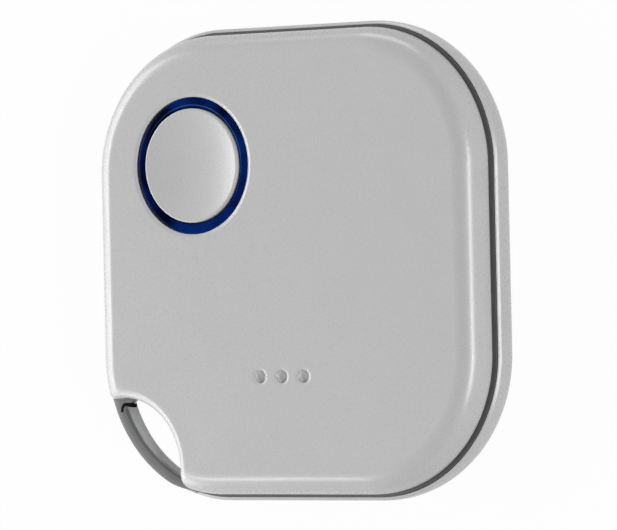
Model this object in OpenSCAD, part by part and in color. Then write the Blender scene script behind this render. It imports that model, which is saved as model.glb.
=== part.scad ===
// Square key-fob push button: two shells, a lit push button, a radio board and a round cell.
// The case lies on its back. Z = 0 is the rear face, +Z points out of the front face, and the key loop
// is at the corner towards -X and -Y. All sizes are in millimetres.

/* [Case] */
// Side of the rear cover, the widest part of the case
case_side = 36; // [33:0.5:42]
// Corner radius of the rear cover, seen from the front
case_corner_r = 11; // [10:0.5:12]
// Height of the rear cover up to its ledge
rear_height = 3.05; // [2.8:0.05:3.4]
// Radius of the rear cover's edge towards its back
rear_edge_r = 2.5; // [1.6:0.1:2.6]
// Width of the lip round the ledge
lip_w = 0.24; // [0.15:0.01:0.3]
// Height of the lip above the ledge
lip_h = 0.25; // [0.15:0.05:0.3]
// Radius along the outer edge of the lip
lip_edge_r = 0.21; // [0.05:0.01:0.25]
// Wall of the rear cover
rear_wall = 1.2; // [1:0.05:1.4]
// Floor of the rear cover
rear_floor = 0.7; // [0.6:0.05:0.8]
// Width of the ledge that stands out past the front cover
ledge_width = 0.5; // [0.3:0.05:0.7]
// Height of the dark groove between the two shells
groove_height = 0.6; // [0.5:0.05:0.9]
// How far the band in the groove is set back from the front cover's side
groove_recess = 0.15; // [0.05:0.05:0.3]
// Height of the band's foot, which lies on the ledge
foot_h = 0.3; // [0.2:0.05:0.4]
// Height of the front cover from its rim to its face
cover_height = 2.35; // [2.2:0.05:2.8]
// Radius of the front cover's edge
cover_edge_r = 1.9; // [1.2:0.1:2]
// Side wall of the front cover
cover_wall = 1; // [0.8:0.05:1.1]
// Thickness of the front cover's face
cover_top = 0.9; // [0.7:0.05:1]
// Gap between pieces that are pushed together
joint_gap = 0.05; // [0.03:0.01:0.08]

/* [Key loop] */
// Distance of the scoop's centre from both sides of the case
scoop_inset = 2.5; // [2:0.1:3]
// Radius of the scoop cut out of the corner
scoop_r = 5.45; // [5:0.05:5.8]
// Radius of the scoop's edge on both faces
scoop_edge_r = 0.9; // [0.5:0.1:1.2]
// Width of the loop's band, seen from the front
loop_width = 0.9; // [0.8:0.05:1.2]
// How far the loop stands above the front cover's rim
loop_rise = 0.3; // [0.1:0.05:0.5]
// How far the loop's front layer reaches below the front cover's rim
loop_link_t = 0.15; // [0.1:0.01:0.25]
// Gap between the loop's two layers
loop_gap = 0.1; // [0.05:0.01:0.15]
// Height of the loop's rear layer
loop_rear_h = 1.2; // [0.9:0.05:1.6]

/* [Button] */
// Distance of the button's centre from the left side of the case
button_inset_x = 10.05; // [10:0.05:11]
// Distance of the button's centre from the upper side of the case
button_inset_y = 10.4; // [10:0.05:11]
// Radius along the edge of the hole for the button in the front cover
hole_edge_r = 0.12; // [0.05:0.01:0.25]
// Radius of the push button
cap_r = 4.34; // [4.2:0.02:4.5]
// How far the push button's rim stands above the face
cap_rise = 0.1; // [0:0.01:0.2]
// Width of the flat rim round the push button's dish
cap_rim_w = 0.12; // [0.05:0.01:0.3]
// Depth of the push button's dish
cap_dish = 0.45; // [0.2:0.05:0.6]
// Thickness of the push button at the bottom of its dish
cap_web = 0.4; // [0.3:0.05:0.5]
// Wall of the push button
cap_wall = 0.7; // [0.5:0.05:0.9]
// How far the push button travels
cap_travel = 0.3; // [0.2:0.05:0.35]
// Sliding gap round the push button
slide_gap = 0.08; // [0.04:0.01:0.1]
// How far the push button's foot flange stands out
cap_flange = 0.5; // [0.3:0.05:0.6]
// Thickness of that flange
cap_flange_t = 0.4; // [0.3:0.05:0.5]
// How far the light ring lies below the face
ring_recess = 0.04; // [0.02:0.02:0.3]
// Width of the light ring's face with its bevel
ring_face_w = 0.68; // [0.5:0.01:0.8]
// Width and height of the bevel inside the light ring
ring_bevel = 0.22; // [0.1:0.02:0.3]
// Wall of the light ring's skirt
ring_wall = 0.55; // [0.4:0.05:0.7]
// Thickness of the light ring's flange
ring_flange_t = 0.5; // [0.3:0.05:0.6]

/* [Dimples] */
// Distance of the row of dimples from the lower side of the case
dot_inset = 9.45; // [8:0.05:11]
// Distance between dimples
dot_pitch = 2; // [1.5:0.1:2.5]
// Diameter of a dimple at its floor
dot_d = 0.92; // [0.8:0.02:1.2]
// Depth of a dimple
dot_depth = 0.35; // [0.2:0.05:0.4]
// Radius along the edge of a dimple
dot_edge_r = 0.14; // [0.05:0.01:0.2]

/* [Board] */
// Thickness of the board
board_t = 0.75; // [0.6:0.05:0.9]
// Gap between the board and the frame round it
board_gap = 0.15; // [0.1:0.05:0.3]
// Wall of the frame that holds the board
frame_wall = 0.8; // [0.6:0.05:0.9]
// How far the frame reaches up into the front cover
tongue_height = 0.7; // [0.5:0.05:0.9]
// Width of the shelf under the board's edge
shelf_width = 0.8; // [0.6:0.05:1]
// Thickness of that shelf
shelf_t = 0.35; // [0.3:0.05:0.5]
// Radius of a peg that the board is staked on
peg_r = 0.5; // [0.4:0.05:0.6]
// Distance of the pegs from the shelf's edge
peg_margin = 0.85; // [0.75:0.05:0.95]
// Height of the seal round the frame
seal_height = 0.4; // [0.3:0.05:0.45]
// Depth of the groove that holds the seal
seal_depth = 0.35; // [0.25:0.05:0.4]
// Height of the small lights under the ring
led_h = 0.4; // [0.3:0.05:0.5]
// Side of the radio chip
chip_side = 5; // [4:0.5:5]

/* [Switch] */
// Side of the switch under the button
switch_side = 4.2; // [3.6:0.1:4.4]
// Height of the switch's base
switch_h = 0.9; // [0.85:0.05:1]
// Radius of the switch's stem
stem_r = 1; // [0.8:0.05:1.1]
// How far the stem stands out of the switch
stem_rise = 0.25; // [0.2:0.05:0.3]

/* [Sounder] */
// Diameter of the sounder's plate
plate_d = 10; // [9:0.5:10.5]
// Diameter of the sounder's ceramic disc
ceramic_d = 6.6; // [6:0.2:7]
// Distance of the sounder's centre from the middle of the case, towards -X
sounder_shift = 4.5; // [4:0.1:5]

/* [Cell] */
// Diameter of the cell
cell_d = 20; // [18:0.5:22]
// Height of the cell
cell_h = 1.6; // [1.4:0.05:1.8]
// Diameter of the face of the cell's cap
cell_cap_d = 17.7; // [16:0.1:19]
// Gap between the cell and the low wall round it
cell_gap = 0.5; // [0.4:0.05:0.6]
// Height of the low wall that keeps the cell in place
cradle_h = 0.8; // [0.5:0.05:0.9]
// Room for the contacts between the cell and the board
contact_room = 0.3; // [0.25:0.05:0.4]
// Thickness of the sheet metal contacts
contact_t = 0.1; // [0.08:0.01:0.15]
// Width of the cell contacts
contact_w = 3; // [2:0.1:4]

/* [Hidden] */
$fn = 96;

// Colours of the shells and of the parts inside
shell_grey = "#bcbcbc";
band_grey = "#4a4a4c";
ring_blue = "#061c50";
board_green = "#14503a";
metal_grey = "#c9c7c0";
part_black = "#202224";

// Levels
half = case_side / 2;
rim_z = rear_height + groove_height;
face_z = rim_z + cover_height;
ceiling_z = face_z - cover_top;
cell_z = rear_floor + joint_gap;
cell_top = cell_z + cell_h;
board_level = cell_top + contact_room;
board_top = board_level + board_t;
spigot_z = board_level - shelf_t;
band_z = rear_height + joint_gap;
past = 1;

// Insets from the rear cover's outline
band_inset = ledge_width + groove_recess;
foot_inset = lip_w + joint_gap;
foot_scoop = 2 * joint_gap;
foot_inner = band_inset + joint_gap;
spigot_inset = rear_wall + joint_gap;
frame_inner = spigot_inset + frame_wall;
shelf_inner = frame_inner + shelf_width;
tongue_scoop = cover_wall + joint_gap;
tongue_inset = ledge_width + tongue_scoop;
board_inset = frame_inner + board_gap;
seal_inset = spigot_inset + seal_depth;
seal_z = (spigot_z + rear_height - seal_height) / 2;
seal_play = 0.02;

// Scoop and loop
scoop_at = half - scoop_inset;
loop_top = rim_z + loop_rise;
loop_front_z = rim_z - loop_link_t;
loop_rear_top = loop_front_z - loop_gap;
loop_rear_z = loop_rear_top - loop_rear_h;
loop_root = rear_wall / 2;
loop_set_in = joint_gap;

// Button, ring and switch
button_x = button_inset_x - half;
button_y = half - button_inset_y;
cap_rim_z = face_z + cap_rise;
cap_dish_w = cap_r - cap_rim_w;
cap_dish_r = (cap_dish_w * cap_dish_w + cap_dish * cap_dish) / (2 * cap_dish);
ring_floor_gap = 0.1;
ring_z = board_top + led_h + ring_floor_gap;
cap_rest_gap = 0.3;
cap_z = board_top + cap_travel + cap_rest_gap;
cap_flange_top = cap_z + cap_flange_t;
cap_hollow_r = cap_r - cap_wall;
cap_ceiling = cap_rim_z - cap_dish - cap_web;
ring_step = cap_flange_top + joint_gap;
ring_top = face_z - ring_recess;
ring_bore_r = cap_r + slide_gap;
ring_play = 0.1;
ring_outer_r = ring_bore_r + ring_face_w;
hole_r = ring_outer_r + ring_play;
ring_counter_r = cap_r + cap_flange + ring_play;
ring_skirt_r = ring_counter_r + ring_wall;
ring_flange_r = ring_skirt_r + ring_wall;
led_at = ring_skirt_r + ring_play;
led_size = [0.5, 1, led_h];
led_count = 4;
plunger_r = 0.9;
switch_floor = 0.15;
switch_plate_t = 0.15;
switch_round_r = 1.7;
snap_r = 1.5;
stem_foot_w = 0.4;
stem_foot_t = 0.2;
stem_foot_play = 0.1;
snap_h = switch_h - switch_floor - joint_gap - stem_foot_t - stem_foot_play;
snap_t = 0.06;
snap_z = board_top + switch_floor;
snap_bend_r = (snap_r * snap_r + snap_h * snap_h) / (2 * snap_h);
stem_z = snap_z + snap_h + joint_gap;
plate_z = board_top + switch_h;
stem_top = plate_z + switch_plate_t + stem_rise;

// Dimples
dot_y = dot_inset - half;

// Cell and its contacts
cell_r = cell_d / 2;
can_t = 0.2;
can_drop = 0.2;
cell_play = 0.05;
gasket_w = 0.9;
gasket_drop = 0.12;
cap_stand = 0.5;
cap_face_t = 0.1;
cap_seat_z = cell_top - cap_stand;
cap_seat_r = cell_r - can_t - gasket_w - 2 * cell_play;
cradle_r = cell_r + cell_gap;
cradle_wall = 0.7;
pad_l = 1.7;
leaf_l = 6;
leaf_touch = 1.2;
blade_drop = 0.3;

// Sounder
sounder_y = dot_y;
plate_t = 0.1;
ceramic_t = 0.12;
ceramic_z = ceiling_z - plate_t - ceramic_t;
spring_l = 1.4;
spring_w = 0.6;
spring_margin = 1;

// Small parts on the board, each with its size and the place of its middle
chip_h = 0.8;
chip_inset = [11.4, 6.8];
chip_at = [half - chip_inset[0], half - chip_inset[1]];
chip_side_x = chip_at[0] + chip_side / 2;
main_crystal_size = [2, 1.6, 0.5];
main_crystal_from_chip = [2.4, 0.9];
main_crystal_at = [chip_side_x + main_crystal_from_chip[0], chip_at[1] + main_crystal_from_chip[1]];
clock_crystal_size = [3.2, 1.5, 0.75];
clock_crystal_from_chip = [2.9, -2.2];
clock_crystal_at = [chip_side_x + clock_crystal_from_chip[0], chip_at[1] + clock_crystal_from_chip[1]];
antenna_size = [2, 5, 0.9];
antenna_margin = [0.5, 0.95];
antenna_at = [
    board_inset - half + antenna_margin[0] + antenna_size[0] / 2,
    scoop_r - scoop_at + board_inset + antenna_margin[1] + antenna_size[1] / 2
];
bulk_size = [3.2, 1.6, 1.2];
bulk_inset = [9, 12];
bulk_at = [half - bulk_inset[0], bulk_inset[1] - half];
passive_size = [0.5, 1, 0.4];
passive_count = 5;
passive_pitch = 0.8;
passive_gap = 0.9;
passive_drop = 1.6;

// Pegs that hold the board, by the middle of three sides
peg_at = half - shelf_inner - peg_margin;
peg_bite = 0.15;
peg_boss_r = peg_margin + peg_bite;
peg_head_w = 0.3;
peg_head_t = 0.25;
peg_left_y = 1.5;
peg_right_y = -2;
pegs = [[-peg_at, peg_left_y], [0, peg_at], [peg_at, peg_right_y]];

// Quarter profile of a puck: width w from the axis, height h, with rounded outer edges
module edge_profile(w, h, top_r, bottom_r) {
    difference() {
        square([w, h]);
        if (top_r > 0)
            translate([w - top_r, h - top_r])
                difference() {
                    square(2 * top_r);
                    circle(top_r);
                }
        if (bottom_r > 0)
            translate([w - bottom_r, bottom_r])
                difference() {
                    translate([0, -2 * bottom_r]) square(2 * bottom_r);
                    circle(bottom_r);
                }
    }
}

// Rounded square slab on Z = 0 with rounded edges at its top and bottom
module pillow(half_side, corner_r, h, top_r, bottom_r) {
    core = half_side - corner_r;
    for (k = [0:3])
        rotate(90 * k)
            translate([core, core, 0]) {
                rotate_extrude(angle = 90) edge_profile(corner_r, h, top_r, bottom_r);
                rotate([90, 0, 0]) linear_extrude(2 * core) edge_profile(corner_r, h, top_r, bottom_r);
            }
    translate([-core, -core, 0]) cube([2 * core, 2 * core, h]);
}

// Flat outline of the whole case, set in by inset
module outline(inset) {
    core = half - case_corner_r;
    reach = half - inset;
    square([2 * core, 2 * reach], center = true);
    square([2 * reach, 2 * core], center = true);
    for (x = [-core, core])
        for (y = [-core, core])
            translate([x, y]) circle(case_corner_r - inset);
}

// Circle at the scoop's centre
module scoop_circle(r) {
    translate([-scoop_at, -scoop_at]) circle(r);
}

// Flat outline of the case without its scooped corner
module plan(inset, scoop_wall) {
    difference() {
        outline(inset);
        scoop_circle(scoop_r + scoop_wall);
    }
}

// Wall that follows the plan between two insets, from one height to another
module plan_wall(outer, outer_scoop, inner, z0, z1) {
    translate([0, 0, z0])
        linear_extrude(z1 - z0)
            difference() {
                plan(outer, outer_scoop);
                plan(inner[0], inner[1]);
            }
}

// Flat shape of the loop's band inside a circle about the scoop's centre
module loop_band(r) {
    intersection() {
        difference() {
            outline(loop_set_in);
            outline(loop_width);
        }
        scoop_circle(r);
    }
}

// Round cutter whose edge is rounded where it meets the level edge_z
module flared_cut(r, edge_r, edge_z, depth) {
    rotate_extrude() {
        translate([0, edge_z - depth]) square([r, depth + past]);
        translate([r, edge_z - edge_r])
            difference() {
                square([edge_r, 2 * edge_r]);
                translate([edge_r, 0]) circle(edge_r);
            }
    }
}

// Place of the button's axis
module at_button() {
    translate([button_x, button_y, 0]) children();
}

// Box on the board with its middle at a place
module board_box(place, size) {
    translate([place[0] - size[0] / 2, place[1] - size[1] / 2, board_top]) cube(size);
}

// Strip of width w along Y with an outline in X and Z
module strip(points, w) {
    rotate([90, 0, 0]) linear_extrude(w, center = true) polygon(points);
}

module rear_cover() {
    cavity_r = rear_edge_r - rear_wall + joint_gap;
    color(shell_grey) {
        difference() {
            pillow(half, case_corner_r, rear_height + lip_h, min(lip_edge_r, lip_w), rear_edge_r);
            translate([0, 0, rear_height]) linear_extrude(lip_h + past) outline(lip_w);
            translate([-scoop_at, -scoop_at, 0])
                mirror([0, 0, 1]) flared_cut(scoop_r, scoop_edge_r, 0, rear_height + lip_h + past);
            difference() {
                translate([0, 0, rear_floor])
                    pillow(half - rear_wall, case_corner_r - rear_wall, rear_height, 0, cavity_r);
                translate([0, 0, -past])
                    linear_extrude(rear_height + 2 * past) scoop_circle(scoop_r + rear_wall);
            }
        }
        translate([0, 0, rear_floor - joint_gap])
            linear_extrude(cradle_h + joint_gap)
                difference() {
                    circle(cradle_r + cradle_wall);
                    circle(cradle_r);
                }
    }
}

module key_loop_rear() {
    color(shell_grey)
        translate([0, 0, loop_rear_z]) linear_extrude(loop_rear_h) loop_band(scoop_r - joint_gap);
}

module mid_frame() {
    inner = [frame_inner, frame_inner];
    color(band_grey) {
        difference() {
            union() {
                plan_wall(band_inset, groove_recess, inner, band_z, rim_z);
                plan_wall(spigot_inset, spigot_inset, inner, spigot_z, band_z);
            }
            plan_wall(0, 0, [seal_inset, seal_inset], seal_z, seal_z + seal_height);
        }
        plan_wall(foot_inset, foot_scoop, [foot_inner, foot_inner], band_z, band_z + foot_h);
        plan_wall(tongue_inset, tongue_scoop, inner, rim_z, rim_z + tongue_height);
        plan_wall(frame_inner, frame_inner, [shelf_inner, shelf_inner], spigot_z, board_level);
        translate([0, 0, band_z])
            linear_extrude(rim_z - band_z)
                difference() {
                    intersection() {
                        loop_band(scoop_r + loop_root);
                        outline(foot_inset);
                    }
                    scoop_circle(scoop_r + joint_gap);
                }
        for (p = pegs)
            translate(p) {
                translate([0, 0, spigot_z]) cylinder(r = peg_boss_r, h = board_level - spigot_z);
                translate([0, 0, spigot_z]) cylinder(r = peg_r, h = board_top + peg_head_t - spigot_z);
                translate([0, 0, board_top]) cylinder(r = peg_r + peg_head_w, h = peg_head_t);
            }
    }
}

module key_loop_front() {
    color(band_grey)
        translate([0, 0, loop_front_z])
            linear_extrude(loop_top - loop_front_z) loop_band(scoop_r - joint_gap);
}

module seal_ring() {
    seal_outer = rear_wall + seal_play;
    seal_inner = seal_inset - seal_play;
    color(part_black)
        plan_wall(seal_outer, seal_outer, [seal_inner, seal_inner],
                  seal_z + seal_play, seal_z + seal_height - seal_play);
}

module front_cover() {
    inner_half = half - ledge_width - cover_wall;
    color(shell_grey)
        difference() {
            translate([0, 0, rim_z])
                pillow(half - ledge_width, case_corner_r - ledge_width, cover_height, cover_edge_r, 0);
            translate([-scoop_at, -scoop_at, 0])
                flared_cut(scoop_r, scoop_edge_r, face_z, cover_height + past);
            difference() {
                translate([0, 0, rim_z - past])
                    pillow(inner_half, case_corner_r - ledge_width - cover_wall, past + ceiling_z - rim_z,
                           cover_edge_r - cover_wall + 2 * joint_gap, 0);
                translate([0, 0, rim_z - 2 * past])
                    linear_extrude(cover_height + 2 * past) scoop_circle(scoop_r + cover_wall);
            }
            at_button() flared_cut(hole_r, hole_edge_r, face_z, cover_top + past);
            for (k = [-1:1])
                translate([k * dot_pitch, dot_y, 0]) flared_cut(dot_d / 2, dot_edge_r, face_z, dot_depth);
        }
}

module light_ring() {
    color(ring_blue)
        at_button()
            rotate_extrude()
                polygon([
                    [ring_bore_r, ring_step],
                    [ring_bore_r, ring_top - ring_bevel],
                    [ring_bore_r + ring_bevel, ring_top],
                    [ring_outer_r, ring_top],
                    [ring_outer_r, ceiling_z],
                    [ring_flange_r, ceiling_z],
                    [ring_flange_r, ceiling_z - ring_flange_t],
                    [ring_skirt_r, ceiling_z - ring_flange_t],
                    [ring_skirt_r, ring_z],
                    [ring_counter_r, ring_z],
                    [ring_counter_r, ring_step]
                ]);
}

module button_cap() {
    color(shell_grey)
        at_button() {
            rotate_extrude() {
                difference() {
                    translate([0, cap_ceiling]) square([cap_r, cap_rim_z - cap_ceiling]);
                    translate([0, cap_rim_z - cap_dish + cap_dish_r]) circle(cap_dish_r, $fn = 4 * $fn);
                }
                translate([cap_hollow_r, cap_z]) square([cap_wall, cap_ceiling + cap_web / 2 - cap_z]);
                translate([cap_hollow_r, cap_z]) square([cap_wall + cap_flange, cap_flange_t]);
            }
            translate([0, 0, stem_top]) cylinder(r = plunger_r, h = cap_ceiling + cap_web / 2 - stem_top);
        }
}

module switch_base() {
    color(part_black)
        at_button()
            difference() {
                translate([-switch_side / 2, -switch_side / 2, board_top])
                    cube([switch_side, switch_side, switch_h]);
                translate([0, 0, snap_z]) cylinder(r = switch_round_r, h = switch_h);
            }
}

module switch_dome() {
    color(metal_grey)
        at_button()
            translate([0, 0, snap_z])
                rotate_extrude()
                    intersection() {
                        translate([0, snap_h - snap_bend_r])
                            difference() {
                                circle(snap_bend_r);
                                circle(snap_bend_r - snap_t);
                            }
                        square([snap_r, snap_h + past]);
                    }
}

module switch_cover() {
    color(metal_grey)
        at_button()
            difference() {
                translate([-switch_side / 2, -switch_side / 2, plate_z])
                    cube([switch_side, switch_side, switch_plate_t]);
                translate([0, 0, plate_z - past]) cylinder(r = stem_r + slide_gap, h = 3 * past);
            }
}

module switch_stem() {
    color(part_black)
        at_button() {
            translate([0, 0, stem_z]) cylinder(r = stem_r + stem_foot_w, h = stem_foot_t);
            translate([0, 0, stem_z]) cylinder(r = stem_r, h = stem_top - stem_z);
        }
}

module circuit_board() {
    color(board_green)
        translate([0, 0, board_level])
            linear_extrude(board_t)
                difference() {
                    plan(board_inset, board_inset);
                    for (p = pegs) translate(p) circle(peg_r + joint_gap);
                }
}

module radio_chip() {
    color(part_black) board_box(chip_at, [chip_side, chip_side, chip_h]);
}

module main_crystal() {
    color(metal_grey) board_box(main_crystal_at, main_crystal_size);
}

module clock_crystal() {
    color(metal_grey) board_box(clock_crystal_at, clock_crystal_size);
}

module chip_antenna() {
    color("white") board_box(antenna_at, antenna_size);
}

module ring_leds() {
    color("lightyellow")
        at_button()
            for (k = [1:led_count])
                rotate(k * 360 / led_count) board_box([led_at, 0], led_size);
}

module passives() {
    upright = [passive_size[1], passive_size[0], passive_size[2]];
    chip_row = chip_at - [chip_side / 2 + passive_gap, (passive_count - 1) / 2 * passive_pitch];
    antenna_row = antenna_at + [antenna_size[0], -passive_drop];
    color("tan")
        for (k = [0:passive_count - 1]) {
            board_box(chip_row + [0, k * passive_pitch], upright);
            board_box(antenna_row + [k * passive_pitch, 0], passive_size);
        }
}

module bulk_capacitor() {
    color("sienna") board_box(bulk_at, bulk_size);
}

module sounder_plate() {
    color("gold")
        translate([-sounder_shift, sounder_y, ceiling_z - plate_t]) cylinder(d = plate_d, h = plate_t);
}

module sounder_ceramic() {
    color("white")
        translate([-sounder_shift, sounder_y, ceramic_z]) cylinder(d = ceramic_d, h = ceramic_t);
}

// Bent contact from the board up to a height, with its tip at the origin's X
module spring_contact(rise) {
    strip([
        [spring_l, 0],
        [spring_l, contact_t],
        [contact_t, rise],
        [-spring_w / 2, rise],
        [-spring_w / 2, rise - contact_t],
        [0, rise - contact_t],
        [spring_l - contact_t, contact_t],
        [0, contact_t],
        [0, 0]
    ], spring_w);
}

module sounder_springs() {
    plate_tip = (plate_d + ceramic_d) / 4;
    ceramic_tip = ceramic_d / 2 - spring_margin;
    color("gold")
        translate([-sounder_shift, sounder_y, board_top]) {
            translate([plate_tip, -spring_w, 0]) spring_contact(ceiling_z - plate_t - board_top);
            translate([ceramic_tip, spring_w, 0]) spring_contact(ceramic_z - board_top);
        }
}

module positive_contact() {
    near = cell_r + cell_play;
    foot = cell_z + cradle_h + blade_drop;
    color("gold")
        rotate(90)
            strip([
                [near, foot],
                [near + contact_t, foot],
                [near + contact_t, board_level - contact_t],
                [near + contact_t + pad_l, board_level - contact_t],
                [near + contact_t + pad_l, board_level],
                [near, board_level]
            ], contact_w);
}

module negative_contact() {
    touch_z = cell_top + cell_play;
    color("gold")
        strip([
            [-leaf_l - pad_l, board_level - contact_t],
            [-leaf_l, board_level - contact_t],
            [-leaf_touch, touch_z],
            [leaf_touch, touch_z],
            [leaf_touch, touch_z + contact_t],
            [-leaf_touch, touch_z + contact_t],
            [-leaf_l, board_level],
            [-leaf_l - pad_l, board_level]
        ], contact_w);
}

module cell_can() {
    color(metal_grey)
        translate([0, 0, cell_z])
            difference() {
                cylinder(r = cell_r, h = cell_h - can_drop);
                translate([0, 0, can_t]) cylinder(r = cell_r - can_t, h = cell_h);
            }
}

module cell_cap() {
    color(metal_grey) {
        translate([0, 0, cap_seat_z]) cylinder(r = cap_seat_r, h = cap_stand - cap_face_t);
        translate([0, 0, cell_top - cap_face_t]) cylinder(d = cell_cap_d, h = cap_face_t);
    }
}

module cell_gasket() {
    color(part_black)
        translate([0, 0, cap_seat_z])
            linear_extrude(cap_stand - gasket_drop)
                difference() {
                    circle(cell_r - can_t - cell_play);
                    circle(cap_seat_r + cell_play);
                }
}

module cell_core() {
    color("dimgray")
        translate([0, 0, cell_z + can_t])
            cylinder(r = cell_r - can_t - cell_play, h = cap_seat_z - cell_z - can_t);
}

rear_cover();
key_loop_rear();
mid_frame();
key_loop_front();
seal_ring();
front_cover();
light_ring();
button_cap();
switch_base();
switch_dome();
switch_cover();
switch_stem();
circuit_board();
radio_chip();
main_crystal();
clock_crystal();
chip_antenna();
ring_leds();
passives();
bulk_capacitor();
sounder_plate();
sounder_ceramic();
sounder_springs();
positive_contact();
negative_contact();
cell_can();
cell_cap();
cell_gasket();
cell_core();
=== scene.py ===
"""Looks of a square key-fob push button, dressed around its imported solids.

Sizes are in millimetres in the case's own frame, where Z = 0 is the rear face
and +Z points out of the front face.
"""

import logging
import math
from dataclasses import dataclass, field
from enum import Enum
from typing import Callable, Iterable, Sequence

import bmesh
import bpy
import numpy as np
from mathutils import Matrix, Vector


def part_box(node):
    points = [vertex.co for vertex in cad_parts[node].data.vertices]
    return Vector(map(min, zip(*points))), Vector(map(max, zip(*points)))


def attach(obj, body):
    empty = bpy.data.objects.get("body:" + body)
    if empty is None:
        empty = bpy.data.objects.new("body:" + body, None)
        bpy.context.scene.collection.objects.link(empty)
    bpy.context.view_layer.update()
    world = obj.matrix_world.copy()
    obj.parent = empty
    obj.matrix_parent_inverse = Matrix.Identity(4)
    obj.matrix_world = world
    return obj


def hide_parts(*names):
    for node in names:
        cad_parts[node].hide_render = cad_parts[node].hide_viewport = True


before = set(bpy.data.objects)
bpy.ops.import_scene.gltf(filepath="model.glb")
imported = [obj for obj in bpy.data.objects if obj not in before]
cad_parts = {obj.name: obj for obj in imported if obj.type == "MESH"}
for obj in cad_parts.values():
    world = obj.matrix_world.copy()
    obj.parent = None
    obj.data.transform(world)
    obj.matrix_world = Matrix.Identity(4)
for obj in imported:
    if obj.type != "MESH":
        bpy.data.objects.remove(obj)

LOG = logging.getLogger("smart_button")
MM = 0.001
MERGE_M = 1e-7
HALVINGS = 46
BLOCK_SEGMENTS = 3
BLOCK_SMOOTH_DEG = 35.0
MIX_COLOURS = slice(6, 8)
MIX_RESULT = 2
Colour = tuple[float, float, float]
Point = tuple[float, float]
Field = Callable[[np.ndarray], np.ndarray]
Tree = bpy.types.NodeTree
Socket = bpy.types.NodeSocket


class Body(Enum):
    """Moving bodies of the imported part."""

    REAR = "rear_case"
    FRONT = "front_case"
    BUTTON = "button"
    BATTERY = "battery"


class Slot(Enum):
    """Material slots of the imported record."""

    SHELL = "shell_plastic"
    BAND = "band_plastic"
    SEAL = "seal_rubber"
    RING = "ring_lens"
    CHIP = "chip_epoxy"
    CRYSTAL = "crystal_metal"
    ANTENNA = "antenna_ceramic"
    LED = "led_resin"
    PASSIVE = "passive_ceramic"
    BOARD = "board_laminate"
    CELL = "cell_steel"


class Side(Enum):
    """Side of a flat fill that faces outwards."""

    UP = 1
    DOWN = -1


class Ramp(Enum):
    """Ways of going from one end of a range to the other."""

    EVEN = "LINEAR"
    SMOOTH = "SMOOTHSTEP"


def round_max(a: np.ndarray, b: np.ndarray, r: float) -> np.ndarray:
    """Meeting of two distance fields with a rounded edge.

    Args:
        a: First field.
        b: Second field.
        r: Radius of the edge.

    Returns:
        The joined field, below zero inside.
    """
    corner = np.hypot(np.maximum(a + r, 0.0), np.maximum(b + r, 0.0))
    return np.minimum(np.maximum(a, b), -r) + corner


def soft_max(a: np.ndarray, b: np.ndarray, width: np.ndarray) -> np.ndarray:
    """Meeting of two fields with a softened crease.

    Args:
        a: First field.
        b: Second field.
        width: Width of the softened crease at each point.

    Returns:
        The joined field, below zero inside.
    """
    share = np.maximum(width - np.abs(a - b), 0.0) / width
    return np.maximum(a, b) + share * share * width / 4


def ease(share: np.ndarray) -> np.ndarray:
    """Smooth step from 0 to 1, level at both ends."""
    t = np.clip(share, 0.0, 1.0)
    return t * t * (3 - 2 * t)


def trace(shape: Field, start: np.ndarray, direction: np.ndarray, reach: float) -> np.ndarray:
    """Points where rays from inside a field leave it.

    Args:
        shape: Field that is below zero inside.
        start: Start of each ray.
        direction: Direction of each ray.
        reach: Longest way along a ray.

    Returns:
        One point for each ray.
    """
    low = np.zeros(start.shape[:-1])
    high = np.full(start.shape[:-1], reach)
    for _ in range(HALVINGS):
        mid = (low + high) / 2
        inside = shape(start + direction * mid[..., None]) < 0
        low = np.where(inside, mid, low)
        high = np.where(inside, high, mid)
    return start + direction * ((low + high) / 2)[..., None]


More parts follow.
